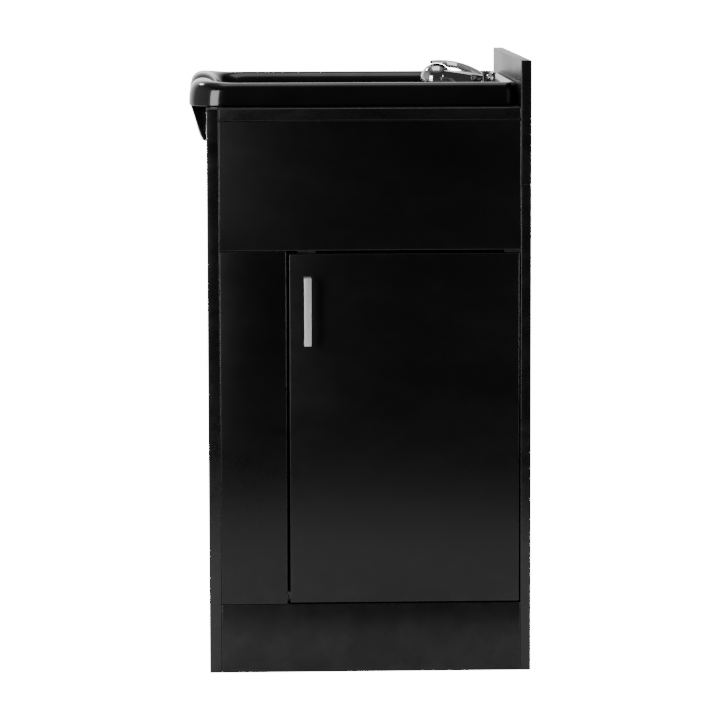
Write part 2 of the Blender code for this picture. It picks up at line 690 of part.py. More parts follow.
def arc_points(centre, start, sweep, radius, steps):
    turns = [radians(start + sweep * step / steps) for step in range(steps + 1)]
    return [Vector((centre[0] + radius * cos(a), 0, centre[1] + radius * sin(a))) for a in turns]


def make_waste():
    make_strainer()
    top = strainer_bottom()
    neck = PIPE_RADIUS + HOLE_CLEARANCE
    bore = max(STRAINER_RADIUS + 2 * HOLE_CLEARANCE, neck + 0.002)
    joint = top - TAILPIECE_LENGTH
    run = [(DRAIN_X, 0, top - SEAM), (DRAIN_X, 0, joint + SEAM)]
    tube("tailpiece", run, PIPE_RADIUS, "white_plastic", PIPE_WALL, 4)
    slip_nut("slip_nut_upper", (DRAIN_X, 0, top - 0.010), bore, neck)
    turn_z = joint - TRAP_DROP
    rise_x = DRAIN_X + 2 * TRAP_BEND_RADIUS
    bend = [Vector((DRAIN_X, 0, joint)), Vector((DRAIN_X, 0, turn_z + 0.004))]
    bend += arc_points((DRAIN_X + TRAP_BEND_RADIUS, turn_z), 180, 180, TRAP_BEND_RADIUS, 10)
    bend += [Vector((rise_x, 0, turn_z + 0.020))]
    tube("trap_bend", bend, PIPE_RADIUS, "white_plastic", PIPE_WALL, 4)
    slip_nut("slip_nut_middle", (DRAIN_X, 0, joint - 0.012), neck + 0.002, neck)
    arm_start = turn_z + 0.020 + SEAM
    elbow_z = turn_z + ARM_RISE
    arm = [Vector((rise_x, 0, arm_start)), Vector((rise_x, 0, elbow_z - 0.003))]
    arm += arc_points((rise_x + ELBOW_RADIUS, elbow_z), 180, -90, ELBOW_RADIUS, 6)
    arm += [Vector((CABINET_DEPTH, 0, elbow_z + ELBOW_RADIUS))]
    tube("trap_arm", arm, PIPE_RADIUS, "white_plastic", PIPE_WALL, 4)
    slip_nut("slip_nut_lower", (rise_x, 0, arm_start - 0.012), neck + 0.002, neck)
    profile = [(neck, 0), (0.034, 0), (0.030, 0.005), (neck, 0.008)]
    turned("pipe_cover", (BACK_INNER - SEAM, 0, arm_height()), (-1, 0, 0), profile, "chrome")


# The supplies


def hose_points(start, end, steps=36):
    """A line that leaves both ends upright and crosses over smoothly between them."""
    points = []
    for step in range(steps + 1):
        part = step / steps
        across = part * part * (3 - 2 * part)
        point = start.lerp(end, across)
        point.z = start.z + (end.z - start.z) * part
        points.append(point)
    return points


def make_supplies():
    for name, side in (("cold", -1), ("hot", 1)):
        place = Vector((BACK_INNER - SEAM, side * VALVE_Y, VALVE_Z))
        profile = [(0, 0), (0.022, 0), (0.018, 0.004), (0.009, 0.005), (0.009, 0.016), (0.0125, 0.017),
                   (0.0125, VALVE_REACH - 0.008), (0.008, VALVE_REACH - 0.007), (0.008, VALVE_REACH),
                   (0, VALVE_REACH)]
        valve = turned("stop_valve_" + name, place, (-1, 0, 0), profile, "chrome", 20)
        outlet_x = place.x - 0.025
        outlet_top = VALVE_Z + 0.030
        outlet = cylinder("valve_outlet", (outlet_x, place.y, VALVE_Z), (0, 0, 1), 0.030, 0.0085, sides=16)
        cut(valve, outlet, "UNION")
        knob = capsule("stop_handle_" + name, -0.019, 0.019, 0.011, -0.0055, 0.0055, "chrome")
        knob.location = (place.x - VALVE_REACH - SEAM - 0.0055, place.y, VALVE_Z)
        knob.rotation_euler = (0, pi / 2, 0)
        bevel(knob, 0.0012)
        start = Vector((outlet_x, place.y, outlet_top + SEAM))
        end = Vector((shank_places()[name], 0, LEDGE_Z - SHANK_LENGTH - SEAM))
        tube("supply_hose_" + name, hose_points(start, end), HOSE_RADIUS, "braid", None, 2)


LOOKS = {"laminate": ((0.012, 0.012, 0.013), 0.45, 0.0),
         "bowl_plastic": ((0.008, 0.008, 0.009), 0.12, 0.0),
         "chrome": ((0.80, 0.80, 0.81), 0.06, 1.0),
         "satin_metal": ((0.62, 0.62, 0.61), 0.35, 1.0),
         "nickel": ((0.60, 0.59, 0.57), 0.28, 1.0),
         "steel": ((0.55, 0.55, 0.56), 0.35, 1.0),
         "stainless": ((0.62, 0.62, 0.63), 0.22, 1.0),
         "brass": ((0.60, 0.45, 0.20), 0.30, 1.0),
         "braid": ((0.50, 0.50, 0.51), 0.38, 0.9),
         "rubber": ((0.02, 0.02, 0.02), 0.8, 0.0),
         "white_plastic": ((0.80, 0.80, 0.78), 0.35, 0.0)}

clear_scene()
PARTS = new_collection("shampoo_backwash_unit")
CUTTERS = new_collection("cutters")
UNIT_FRAME = bpy.data.objects.new("unit_frame", None)
UNIT_FRAME.location = (-ORIGIN_X, -ORIGIN_Y, 0)
PARTS.objects.link(UNIT_FRAME)

make_cabinet()
make_door()
make_handle()
make_hinges()
make_catches()
make_bowl()
make_mixer()
make_waste()
make_supplies()
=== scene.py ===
"""The looks of a shampoo backwash unit: a black laminate cabinet with a hung door, a gloss black
basin with a neck rest, a lever mixer, a spray nipple, and the waste and supplies inside."""
from math import cos, pi, radians, sin, sqrt

import bmesh
import bpy
from mathutils import Matrix, Vector


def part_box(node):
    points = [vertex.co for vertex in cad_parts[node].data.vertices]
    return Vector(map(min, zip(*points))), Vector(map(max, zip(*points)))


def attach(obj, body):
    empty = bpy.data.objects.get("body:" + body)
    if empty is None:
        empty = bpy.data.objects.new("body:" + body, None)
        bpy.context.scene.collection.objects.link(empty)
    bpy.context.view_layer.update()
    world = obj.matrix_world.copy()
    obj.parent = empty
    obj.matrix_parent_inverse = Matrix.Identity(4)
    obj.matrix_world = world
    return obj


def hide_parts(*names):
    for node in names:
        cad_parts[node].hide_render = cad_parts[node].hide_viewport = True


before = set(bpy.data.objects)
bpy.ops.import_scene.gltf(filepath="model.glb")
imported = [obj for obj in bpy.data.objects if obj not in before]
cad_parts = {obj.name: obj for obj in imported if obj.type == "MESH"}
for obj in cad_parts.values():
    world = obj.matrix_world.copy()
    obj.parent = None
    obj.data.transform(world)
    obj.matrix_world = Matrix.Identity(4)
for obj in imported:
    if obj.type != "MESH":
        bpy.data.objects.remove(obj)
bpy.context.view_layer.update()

UP = Vector((0, 0, 1))
RIGHT = Vector((1, 0, 0))
BACKWARD = Vector((0, 1, 0))

# The unit's own origin: the front panel's outer face, the cabinet's middle, the floor
PANEL_LOW, PANEL_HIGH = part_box("front_panel")
ORIGIN = Vector((PANEL_LOW.x, (PANEL_LOW.y + PANEL_HIGH.y) / 2, 0))


def span(node):
    """A CAD node's lowest and highest corners, from the unit's own origin."""
    low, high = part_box(node)
    return low - ORIGIN, high - ORIGIN


def middle(node):
    low, high = span(node)
    return (low + high) / 2


# Sizes read from the frame
DECK_TOP = span("deck_board")[1].z
FACE_Y = span("apron_panel")[0].y
BACK_INNER = span("back_panel")[0].x
BOARD = span("front_panel")[1].x
BOWL_LOW, BOWL_HIGH = span("bowl")
DRAIN_X = middle("drain_strainer").x
MIXER_X = middle("mixer_dome").x
BALL_Z = span("mixer_dome")[0].z
DOME_RADIUS = (span("mixer_dome")[1].x - span("mixer_dome")[0].x) / 2
NIPPLE = middle("spray_nipple")

# Sizes of the finished surfaces
SEAM = 0.0003
BOARD_ROUNDING = 0.0013
BOWL_WALL = 0.004
RIM_HEIGHT = 0.038
LEDGE_DROP = 0.030
LEDGE_LENGTH = 0.144
BASIN_DEPTH = 0.172
FRONT_CORNER = 0.060
REAR_CORNER = 0.020
NECK_HALF_WIDTH = 0.105
NECK_DROP = 0.055
NECK_LIP_DROP = 0.0686
NOTCH_DEPTH = 0.050
CUTOUT_SIDE_MARGIN = 0.028
CUTOUT_REAR_MARGIN = 0.016
DRAIN_RADIUS = 0.0235
DRAIN_SEAT = 0.004
MOUTH_FRONT_MARGIN = 0.009
MOUTH_SIDE_MARGIN = 0.044
MOUTH_RADIUS = 0.085
MOUTH_REAR_RADIUS = 0.075
LOBE_RISE = 0.0045
RIB_THICKNESS = 0.0024
BALL_RISE = 0.0256
DOME_BORE = 0.0256
DOME_WALL = 0.0022
SLOT_HALF_WIDTH = 0.0048
SLOT_FRONT = 0.0135
LEVER_ARC = 0.1335
LEVER_TOP_RISE = 0.0562
LEVER_HALF_WIDTH = 0.0110
PIPE_RADIUS = 0.019
PIPE_WALL = 0.0025
PIPE_CLEARANCE = 0.0004
TRAP_BEND_RADIUS = 0.045
ELBOW_RADIUS = 0.032
HOSE_RADIUS = 0.006
HINGE_CUP_RADIUS = 0.0175
HINGE_POCKET_RADIUS = 0.0179
VALVE_REACH = 0.025
RIM_TOP = DECK_TOP + RIM_HEIGHT
LEDGE_Z = RIM_TOP - LEDGE_DROP
FLOOR_Z = LEDGE_Z - BASIN_DEPTH
SEAT_Z = FLOOR_Z - DRAIN_SEAT

# The studio's white, and the floor's radius and the light it gives off
WHITE = 16.0
FLOOR_RADIUS = 1.25
FLOOR_GLOW = 0.35


# Making nodes, groups and materials


class Wiring:
    """A node tree being wired: short ways to add nodes, set their sockets and join them."""

    def __init__(self, tree):
        self.tree = tree

    def add(self, kind, inputs=None, **settings):
        node = self.tree.nodes.new(kind)
        for name, value in settings.items():
            setattr(node, name, value)
        for name, value in (inputs or {}).items():
            self.put(value, node.inputs[name])
        return node

    def put(self, value, socket):
        """A value on a socket, or a link into it where the value is another node's output."""
        if isinstance(value, bpy.types.NodeSocket):
            self.tree.links.new(value, socket)
        else:
            socket.default_value = value

    def ramp(self, fac, low, high, from_value=0.0, to_value=1.0):
        """A value moved from one range to another and held inside it."""
        node = self.add("ShaderNodeMapRange", {"Value": fac, "From Min": low, "From Max": high,
                                               "To Min": from_value, "To Max": to_value})
        return node.outputs["Result"]

    def noise(self, vector, scale, detail=3.0, roughness=0.5):
        node = self.add("ShaderNodeTexNoise", {"Vector": vector, "Scale": scale, "Detail": detail,
                                               "Roughness": roughness})
        return node.outputs["Fac"]

    def stretched(self, vector, scale):
        node = self.add("ShaderNodeMapping", {"Vector": vector, "Scale": scale})
        return node.outputs["Vector"]

    def math(self, operation, first, second=0.0):
        node = self.add("ShaderNodeMath", operation=operation)
        self.put(first, node.inputs[0])
        self.put(second, node.inputs[1])
        return node.outputs[0]

    def mix(self, fac, first, second):
        node = self.add("ShaderNodeMix", data_type="RGBA")
        self.put(fac, node.inputs["Factor"])
        self.put(first, node.inputs["A"])
        self.put(second, node.inputs["B"])
        return node.outputs["Result"]


def new_effect(name, inputs, outputs):
    """A node group for an effect that several materials share, with its named sockets."""
    tree = bpy.data.node_groups.new(name, "ShaderNodeTree")
    for label, kind, value in inputs:
        socket = tree.interface.new_socket(label, in_out="INPUT", socket_type="NodeSocket" + kind)
        if value is not None:
            socket.default_value = value
    for label, kind in outputs:
        tree.interface.new_socket(label, in_out="OUTPUT", socket_type="NodeSocket" + kind)
    wiring = Wiring(tree)
    given = wiring.add("NodeGroupInput").outputs
    result = wiring.add("NodeGroupOutput").inputs
    return wiring, given, result


def make_smears():
    """Broad wiping marks and finger smudges, as a roughness between a low and a high value."""
    wiring, given, result = new_effect(
        "Smears", [("Vector", "Vector", None), ("Scale", "Float", 6.0),
                   ("Low", "Float", 0.3), ("High", "Float", 0.4)], [("Roughness", "Float")])
    wiped = wiring.noise(wiring.stretched(given["Vector"], (1.0, 1.0, 2.6)), given["Scale"], 4.0)
    spots = wiring.noise(given["Vector"], wiring.math("MULTIPLY", given["Scale"], 9.0), 2.0)
    blend = wiring.math("ADD", wiring.math("MULTIPLY", wiped, 0.75), wiring.math("MULTIPLY", spots, 0.25))
    share = wiring.ramp(blend, 0.34, 0.66)
    spread = wiring.math("SUBTRACT", given["High"], given["Low"])
    wiring.put(wiring.math("ADD", given["Low"], wiring.math("MULTIPLY", share, spread)), result["Roughness"])
    return wiring.tree


def make_pebble():
    """The fine pebbled press of a sheet or moulding, as a height."""
    wiring, given, result = new_effect(
        "Pebble", [("Vector", "Vector", None), ("Scale", "Float", 900.0)], [("Height", "Float")])
    cells = wiring.add("ShaderNodeTexVoronoi", {"Vector": given["Vector"], "Scale": given["Scale"]},
                       feature="SMOOTH_F1")
    fine = wiring.noise(given["Vector"], wiring.math("MULTIPLY", given["Scale"], 2.1), 2.0)
    height = wiring.math("ADD", wiring.math("MULTIPLY", cells.outputs["Distance"], 0.6),
                         wiring.math("MULTIPLY", fine, 0.4))
    wiring.put(height, result["Height"])
    return wiring.tree


def make_floor_glow_and_dust():
    """Painted floor glow mixed with faint dust: a patchy lightening that thins out upwards from the floor, as
    a mask.
    """
    wiring, given, result = new_effect(
        "FloorGlowAndDust", [("Vector", "Vector", None), ("Reach", "Float", 0.25), ("Amount", "Float", 0.3)],
        [("Mask", "Float")])
    height = wiring.add("ShaderNodeSeparateXYZ", {"Vector": given["Vector"]}).outputs["Z"]
    low = wiring.math("SUBTRACT", 1.0, wiring.math("MINIMUM", wiring.math(
        "DIVIDE", height, given["Reach"]), 1.0))
    cloud = wiring.ramp(wiring.noise(given["Vector"], 30.0, 5.0, 0.6), 0.4, 0.75)
    wiring.put(wiring.math("MULTIPLY", wiring.math("MULTIPLY", low, cloud), given["Amount"]),
               result["Mask"])
    return wiring.tree


def make_brushing():
    """Fine parallel lines from a brushing belt, stretched along one axis, as a height."""
    wiring, given, result = new_effect(
        "Brushing", [("Vector", "Vector", None), ("Across", "Vector", (900.0, 900.0, 12.0))],
        [("Height", "Float")])
    mapping = wiring.add("ShaderNodeVectorMath", {0: given["Vector"], 1: given["Across"]},
                         operation="MULTIPLY")
    wiring.put(wiring.noise(mapping.outputs["Vector"], 1.0, 3.0), result["Height"])
    return wiring.tree


EFFECTS = {"Smears": make_smears(), "Pebble": make_pebble(), "FloorGlowAndDust": make_floor_glow_and_dust(),
           "Brushing": make_brushing()}


class Finish(Wiring):
    """A material being made, with its shader and its pattern's coordinates."""

    def __init__(self, name, **constants):
        self.material = bpy.data.materials.new(name)
        self.material.use_nodes = True
        super().__init__(self.material.node_tree)
        self.shader = self.tree.nodes["Principled BSDF"]
        self.place = self.add("ShaderNodeTexCoord").outputs["Object"]
        for socket, value in constants.items():
            self.set(socket.replace("_", " "), value)

    def set(self, socket, value):
        self.put(value, self.shader.inputs[socket])

    def effect(self, name, **inputs):
        """A shared effect's first output, placed in this material with its own values."""
        group = self.add("ShaderNodeGroup", node_tree=EFFECTS[name])
        self.put(inputs.pop("Vector", self.place), group.inputs["Vector"])
        for label, value in inputs.items():
            self.put(value, group.inputs[label])
        return group.outputs[0]

    def smears(self, low, high, scale=6.0):
        self.set("Roughness", self.effect("Smears", Low=low, High=high, Scale=scale))

    def bump(self, height, strength, distance):
        node = self.add("ShaderNodeBump", {"Height": height, "Strength": strength, "Distance": distance})
        self.set("Normal", node.outputs["Normal"])


def make_laminate():
    """Black laminate: a fine satin pebble, wiping marks, and a lighter tone near the floor that is painted
    floor glow mixed with a little dust.
    """
    finish = Finish("black_laminate", Specular_IOR_Level=0.38)
    finish.smears(0.27, 0.34, 5.0)
    cloud = finish.ramp(finish.noise(finish.place, 9.0, 4.0), 0.3, 0.7)
    base = finish.mix(cloud, (0.00112, 0.00112, 0.00115, 1), (0.00168, 0.00168, 0.00173, 1))
    # Painted floor glow mixed with dust: the laminate's colour turns lighter near the floor.
    floor_glow_and_dust = finish.effect("FloorGlowAndDust", Amount=0.10, Reach=0.22)
    finish.set("Base Color", finish.mix(floor_glow_and_dust, base, (0.10, 0.098, 0.094, 1)))
    finish.bump(finish.effect("Pebble", Scale=1100.0), 0.10, 0.0002)
    return finish.material


def make_edge_band():
    """The thin plastic band glued round a board, a little glossier and greyer than its face."""
    finish = Finish("edge_band", Specular_IOR_Level=0.55)
    finish.smears(0.22, 0.34, 14.0)
    worn = finish.ramp(finish.noise(finish.place, 60.0, 5.0, 0.65), 0.55, 0.75)
    finish.set("Base Color", finish.mix(worn, (0.003, 0.003, 0.0031, 1), (0.005, 0.005, 0.005, 1)))
    finish.bump(finish.effect("Pebble", Scale=700.0), 0.05, 0.0002)
    return finish.material


def make_chipboard():
    """The raw chipboard seen inside a hinge pocket."""
    finish = Finish("chipboard", Roughness=0.85)
    chips = finish.ramp(finish.noise(finish.stretched(finish.place, (1, 3, 1)), 420.0, 4.0, 0.7), 0.35, 0.65)
    finish.set("Base Color", finish.mix(chips, (0.30, 0.19, 0.10, 1), (0.56, 0.41, 0.25, 1)))
    finish.bump(chips, 0.5, 0.0004)
    return finish.material


def make_bowl_plastic():
    """Gloss black moulding: slow orange peel under a clear gloss, and fine hair-thin scratches."""
    finish = Finish("gloss_black_moulding", Specular_IOR_Level=0.55, Coat_Roughness=0.05, Coat_IOR=1.5)
    finish.smears(0.10, 0.19, 11.0)
    cloud = finish.ramp(finish.noise(finish.place, 22.0, 3.0), 0.3, 0.7)
    finish.set("Base Color", finish.mix(cloud, (0.0022, 0.0022, 0.0024, 1), (0.0040, 0.0040, 0.0042, 1)))
    finish.set("Coat Weight", finish.ramp(cloud, 0.0, 1.0, 0.35, 0.55))
    peel = finish.noise(finish.place, 130.0, 2.0)
    scratch = finish.noise(finish.stretched(finish.place, (60.0, 900.0, 60.0)), 1.0, 2.0, 0.7)
    relief = finish.math("ADD", finish.math("MULTIPLY", peel, 0.8), finish.math("MULTIPLY", scratch, 0.2))
    finish.bump(relief, 0.12, 0.0004)
    return finish.material


def make_plate(name, tone, low, high, bump=0.03, spots=0.04, grain=240.0):
    """Plated metal: a bright tone that varies faintly, water spots and smudges in its gloss."""
    finish = Finish(name)
    finish.smears(low, high, 40.0)
    cloud = finish.ramp(finish.noise(finish.place, 70.0, 3.0), 0.3, 0.7)
    dark = tuple(value * (1 - 4 * spots) for value in tone)
    finish.set("Base Color", finish.mix(cloud, (*dark, 1), (*tone, 1)))
    drops = finish.ramp(finish.noise(finish.place, 420.0, 2.0), 0.62, 0.70)
    finish.set("Metallic", finish.ramp(drops, 0.0, 1.0, 1.0, 0.94))
    finish.bump(finish.noise(finish.place, grain, 3.0), bump, 0.0002)
    return finish.material


def make_brushed(name, tone, across, low=0.28, high=0.40, bump=0.25):
    """Metal with brushing lines along one axis."""
    finish = Finish(name, Metallic=1.0)
    lines = finish.effect("Brushing", Across=across)
    share = finish.ramp(lines, 0.3, 0.7)
    dark = tuple(value * 0.84 for value in tone)
    finish.set("Base Color", finish.mix(share, (*dark, 1), (*tone, 1)))
    worn = finish.effect("Smears", Low=low, High=high, Scale=30.0)
    finish.set("Roughness", finish.math("ADD", worn, finish.math("MULTIPLY", share, 0.06)))
    finish.bump(lines, bump, 0.0002)
    return finish.material


def make_white_plastic():
    """Moulded white pipe plastic, slightly waxy, with dust lodged in its texture."""
    finish = Finish("white_pipe_plastic", Specular_IOR_Level=0.45, Subsurface_Weight=0.05,
                    Subsurface_Scale=0.004)
    finish.smears(0.30, 0.46, 18.0)
    grey = finish.ramp(finish.noise(finish.place, 45.0, 5.0, 0.6), 0.45, 0.8)
    finish.set("Base Color", finish.mix(grey, (0.80, 0.80, 0.78, 1), (0.64, 0.63, 0.60, 1)))
    finish.bump(finish.effect("Pebble", Scale=600.0), 0.08, 0.0003)
    return finish.material


def make_rubber():
    finish = Finish("black_rubber", Specular_IOR_Level=0.35)
    finish.smears(0.62, 0.80, 25.0)
    bloom = finish.ramp(finish.noise(finish.place, 90.0, 4.0), 0.45, 0.75)
    finish.set("Base Color", finish.mix(bloom, (0.014, 0.014, 0.014, 1), (0.035, 0.034, 0.033, 1)))
    finish.bump(finish.effect("Pebble", Scale=800.0), 0.3, 0.0003)
    return finish.material


def make_braid():
    """Steel wire braid on a hose's own UV map: wires that cross over and under in diamonds, with painted
    shade where the weave sinks.
    """
    finish = Finish("steel_braid", Metallic=0.9)
    around = finish.add("ShaderNodeUVMap", uv_map="UVMap").outputs["UV"]
    split = finish.add("ShaderNodeSeparateXYZ", {"Vector": around})
    waves = []
    for sign in (1.0, -1.0):
        lean = finish.math("ADD", finish.math("MULTIPLY", split.outputs["X"], 2 * pi * 12.0 * sign),
                           finish.math("MULTIPLY", split.outputs["Y"], 2 * pi * 12.0))
        waves.append(finish.math("SINE", lean))
    weave = finish.math("MAXIMUM", waves[0], waves[1])
    height = finish.ramp(weave, -0.4, 1.0)
    # Painted shade: the steel's colour is darker where the weave sinks between the wires.
    finish.set("Base Color", finish.mix(height, (0.10, 0.10, 0.11, 1), (0.62, 0.62, 0.64, 1)))
    finish.set("Roughness", finish.ramp(height, 0.0, 1.0, 0.55, 0.28))
    finish.bump(height, 0.9, 0.0006)
    return finish.material


def make_painted_shadow():
    """Painted shadow: a near-black, faintly mottled colour, put on the lever's front tip for the shade under
    its end.
    """
    finish = Finish("painted_shadow_black", Specular_IOR_Level=0.2)
    finish.smears(0.6, 0.9, 40.0)
    shadow_mottle = finish.noise(finish.place, 300.0, 3.0)
    finish.set("Base Color", finish.mix(shadow_mottle, (0.002, 0.002, 0.002, 1), (0.012, 0.012, 0.012, 1)))
    return finish.material


LAMINATE = make_laminate()
EDGE_BAND = make_edge_band()
CHIPBOARD = make_chipboard()
BOWL_PLASTIC = make_bowl_plastic()
CHROME = make_plate("chrome", (0.86, 0.86, 0.87), 0.035, 0.085)
NICKEL = make_plate("bright_nickel", (0.60, 0.585, 0.56), 0.20, 0.32, 0.10)
STEEL = make_plate("zinc_plated_steel", (0.50, 0.505, 0.52), 0.28, 0.42, 0.16, 0.06)
SATIN_METAL = make_brushed("satin_nickel_bar", (0.88, 0.88, 0.87), (1600.0, 1600.0, 14.0), 0.46, 0.56)
STAINLESS = make_brushed("spun_stainless", (0.60, 0.60, 0.61), (300.0, 300.0, 3000.0), 0.16, 0.28, 0.15)
BRASS = make_plate("raw_brass", (0.56, 0.40, 0.17), 0.24, 0.40, 0.15, 0.08)
WHITE_PLASTIC = make_white_plastic()
RUBBER = make_rubber()
BRAID = make_braid()
PAINTED_SHADOW_BLACK = make_painted_shadow()


# Making pieces


def settle(form, name, looks, body, replaced=(), smooth=40.0):
    """A bmesh made into a finished piece: placed in the row frame, shaded, and riding on its body."""
    bmesh.ops.translate(form, verts=form.verts, vec=ORIGIN)
    mesh = bpy.data.meshes.new(name)
    form.to_mesh(mesh)
    form.free()
    for look in looks:
        mesh.materials.append(look)
    mesh.shade_smooth()
    mesh.set_sharp_from_angle(angle=radians(smooth))
    piece = bpy.data.objects.new(name, mesh)
    bpy.context.scene.collection.objects.link(piece)
    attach(piece, body)
    if replaced:
        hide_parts(*replaced)
    return piece


def block(form, low, high):
    """A box between two corners, added to a bmesh, with its new vertices."""
    low, high = Vector(low), Vector(high)
    size = high - low
    place = Matrix.Translation((low + high) / 2) @ Matrix.Diagonal((*size, 1))
    return bmesh.ops.create_cube(form, size=1.0, matrix=place)["verts"]


def round_edges(form, width, segments=3, least=30.0):
    """Bevels the edges whose faces meet at more than the least angle."""
    chosen = [edge for edge in form.edges if edge.is_manifold and edge.calc_face_angle() > radians(least)]
    return bmesh.ops.bevel(form, geom=chosen, offset=width, offset_type="OFFSET", segments=segments,
                           affect="EDGES", profile=0.5, material=-1, clamp_overlap=True)


def soft_block(low, high, rounding, segments=3):
    form = bmesh.new()
    block(form, low, high)
    round_edges(form, rounding, segments)
    return form


def facing(axis):
    """The turn that brings +Z onto an axis."""
    return UP.rotation_difference(Vector(axis)).to_matrix().to_4x4()


def add_cylinder(form, centre, axis, radius, length, sides):
    place = Matrix.Translation(centre) @ facing(axis)
    bmesh.ops.create_cone(form, cap_ends=True, segments=sides, radius1=radius, radius2=radius,
                          depth=length, matrix=place)


def push_out(form, face, reach):
    """A flat outline pushed along a vector into a closed solid."""
    pushed = bmesh.ops.extrude_face_region(form, geom=[face])["geom"]
    verts = [item for item in pushed if isinstance(item, bmesh.types.BMVert)]
    bmesh.ops.translate(form, vec=reach, verts=verts)
    bmesh.ops.recalc_face_normals(form, faces=form.faces)


def along_axis(form, axis, least=0.9):
    """The edges that run along an axis, which is 0, 1 or 2."""
    return [e for e in form.edges if abs((e.verts[1].co - e.verts[0].co).normalized()[axis]) > least]


def turn_profile(form, profile, base=(0, 0, 0), axis=(0, 0, 1), steps=48):
    """A (radius, height) outline spun once round an axis through base, closed at its poles."""
    line = [form.verts.new((radius, 0, height)) for radius, height in profile]
    edges = [form.edges.new(pair) for pair in zip(line, line[1:])]
    before = set(form.verts) - set(line)
    bmesh.ops.spin(form, geom=line + edges, cent=(0, 0, 0), axis=(0, 0, 1), angle=2 * pi, steps=steps,
                   use_merge=True)
    made = [v for v in form.verts if v not in before]
    bmesh.ops.remove_doubles(form, verts=made, dist=0.00002)
    made = [v for v in form.verts if v.is_valid and v not in before]
    faces = {face for vert in made for face in vert.link_faces}
    bmesh.ops.recalc_face_normals(form, faces=list(faces))
    bmesh.ops.transform(form, matrix=Matrix.Translation(base) @ facing(axis), verts=made)
    return made


def rounded_profile(points, radius, cuts=4):
    """An outline whose inner corners are replaced with short arcs."""
    points = [Vector((x, y, 0)) for x, y in points]
    out = [points[0]]
    for before, corner, after in zip(points, points[1:], points[2:]):
        back, ahead = before - corner, after - corner
        reach = min(radius, back.length * 0.45, ahead.length * 0.45)
        start, end = corner + back.normalized() * reach, corner + ahead.normalized() * reach
        for step in range(cuts + 1):
            part = step / cuts
            out.append(start.lerp(corner, part).lerp(corner.lerp(end, part), part))
    out.append(points[-1])
    return [(point.x, point.y) for point in out]


def sweep_ring(points, radius, sides):
    """The rings of a round tube along a line of points in a plane y = constant."""
    rings = []
    for number, point in enumerate(points):
        before, after = points[max(number - 1, 0)], points[min(number + 1, len(points) - 1)]
        along = (after - before).normalized()
        side = along.cross(BACKWARD).normalized()
        other = along.cross(side).normalized()
        rings.append([point + radius * (cos(a) * side + sin(a) * other)
                      for a in (2 * pi * step / sides for step in range(sides))])
    return rings


def loft(form, rings, closed_ends=True):
    """A skin over rings of points: the first ring is extruded row by row and each row moved to its ring."""
    row = [form.verts.new(point) for point in rings[0]]
    count = len(row)
    edges = [form.edges.new((row[n], row[(n + 1) % count])) for n in range(count)]
    first_edges = edges
    for ring in rings[1:]:
        made = bmesh.ops.extrude_edge_only(form, edges=edges)["geom"]
        verts = [item for item in made if isinstance(item, bmesh.types.BMVert)]
        partner = {}
        for vert in verts:
            for edge in vert.link_edges:
                other = edge.other_vert(vert)
                if other in row:
                    partner[other] = vert
        row = [partner[old] for old in row]
        for vert, point in zip(row, ring):
            vert.co = point
        edges = [form.edges.get((row[n], row[(n + 1) % count])) for n in range(count)]
    if closed_ends:
        bmesh.ops.contextual_create(form, geom=first_edges)
        bmesh.ops.contextual_create(form, geom=edges)
    return row


# The cabinet


def finish_board(form, node):
    """Rounds a board's edges and gives its broad faces laminate and its edges the glued band."""
    low, high = span(node)
    size = high - low
    thin = min(range(3), key=lambda axis: size[axis])
    round_edges(form, BOARD_ROUNDING)
    form.normal_update()
    for face in form.faces:
        face.material_index = 0 if abs(face.normal[thin]) > 0.98 else 1
    board = settle(form, node + "_finished", [LAMINATE, EDGE_BAND], "unit", [node], 35.0)
    if thin != 1:
        for face in board.data.polygons:
            face.use_smooth = face.material_index == 1


def make_plain_board(node):
    """A board set tight against its neighbours along the cabinet."""
    form = bmesh.new()
    low, high = span(node)
    tight = RIGHT * (0.0 if node == "backsplash" else 0.95 * SEAM)
    block(form, low - tight, high + tight)
    finish_board(form, node)


def make_cabinet():
    """The boards with no cuts, each with rounded and banded edges."""
    for node in ("apron_panel", "stile_panel", "kick_panel", "backsplash", "far_side_panel",
                 "bottom_shelf", "deck_rail_near", "deck_rail_far", "joining_rail"):
        make_plain_board(node)


def subtract(form, cutter):
    """Takes one closed bmesh out of another with a Boolean, and hands back the result."""
    objects = []
    for name, source in (("body", form), ("cutter", cutter)):
        mesh = bpy.data.meshes.new(name)
        source.to_mesh(mesh)
        source.free()
        objects.append(bpy.data.objects.new(name, mesh))
        bpy.context.scene.collection.objects.link(objects[-1])
    body, tool = objects
    change = body.modifiers.new("Cut", "BOOLEAN")
    change.object = tool
    change.operation = "DIFFERENCE"
    change.material_mode = "TRANSFER"
    bpy.context.view_layer.update()
    result = bmesh.new()
    evaluated = body.evaluated_get(bpy.context.evaluated_depsgraph_get())
    result.from_mesh(evaluated.to_mesh())
    evaluated.to_mesh_clear()
    for used in objects:
        mesh = used.data
        bpy.data.objects.remove(used)
        bpy.data.meshes.remove(mesh)
    return result


def make_door():
    """The hung door, with a pocket in its back for each hinge cup."""
    low, high = span("door")
    form = soft_block(low, high, BOARD_ROUNDING)
    pockets = bmesh.new()
    for level in ("upper", "lower"):
        cup_low, cup_high = span("hinge_cup_" + level)
        centre = (cup_low + cup_high) / 2
        depth = 0.02
        base = Vector((centre.x, cup_low.y - SEAM + depth / 2, centre.z))
        add_cylinder(pockets, base, BACKWARD, HINGE_POCKET_RADIUS, depth, 48)
    form = subtract(form, pockets)
    form.normal_update()
    for face in form.faces:
        centre = face.calc_center_median()
        flat = abs(face.normal.y) > 0.98
        clear = low.x + 0.002 < centre.x < high.x - 0.002 and low.z + 0.003 < centre.z < high.z - 0.003
        inside = clear and low.y + 0.004 < centre.y < high.y - 0.0004
        face.material_index = 2 if inside else (0 if flat else 1)
    settle(form, "door_finished", [LAMINATE, EDGE_BAND, CHIPBOARD], "door_leaf", ["door"], 35.0)


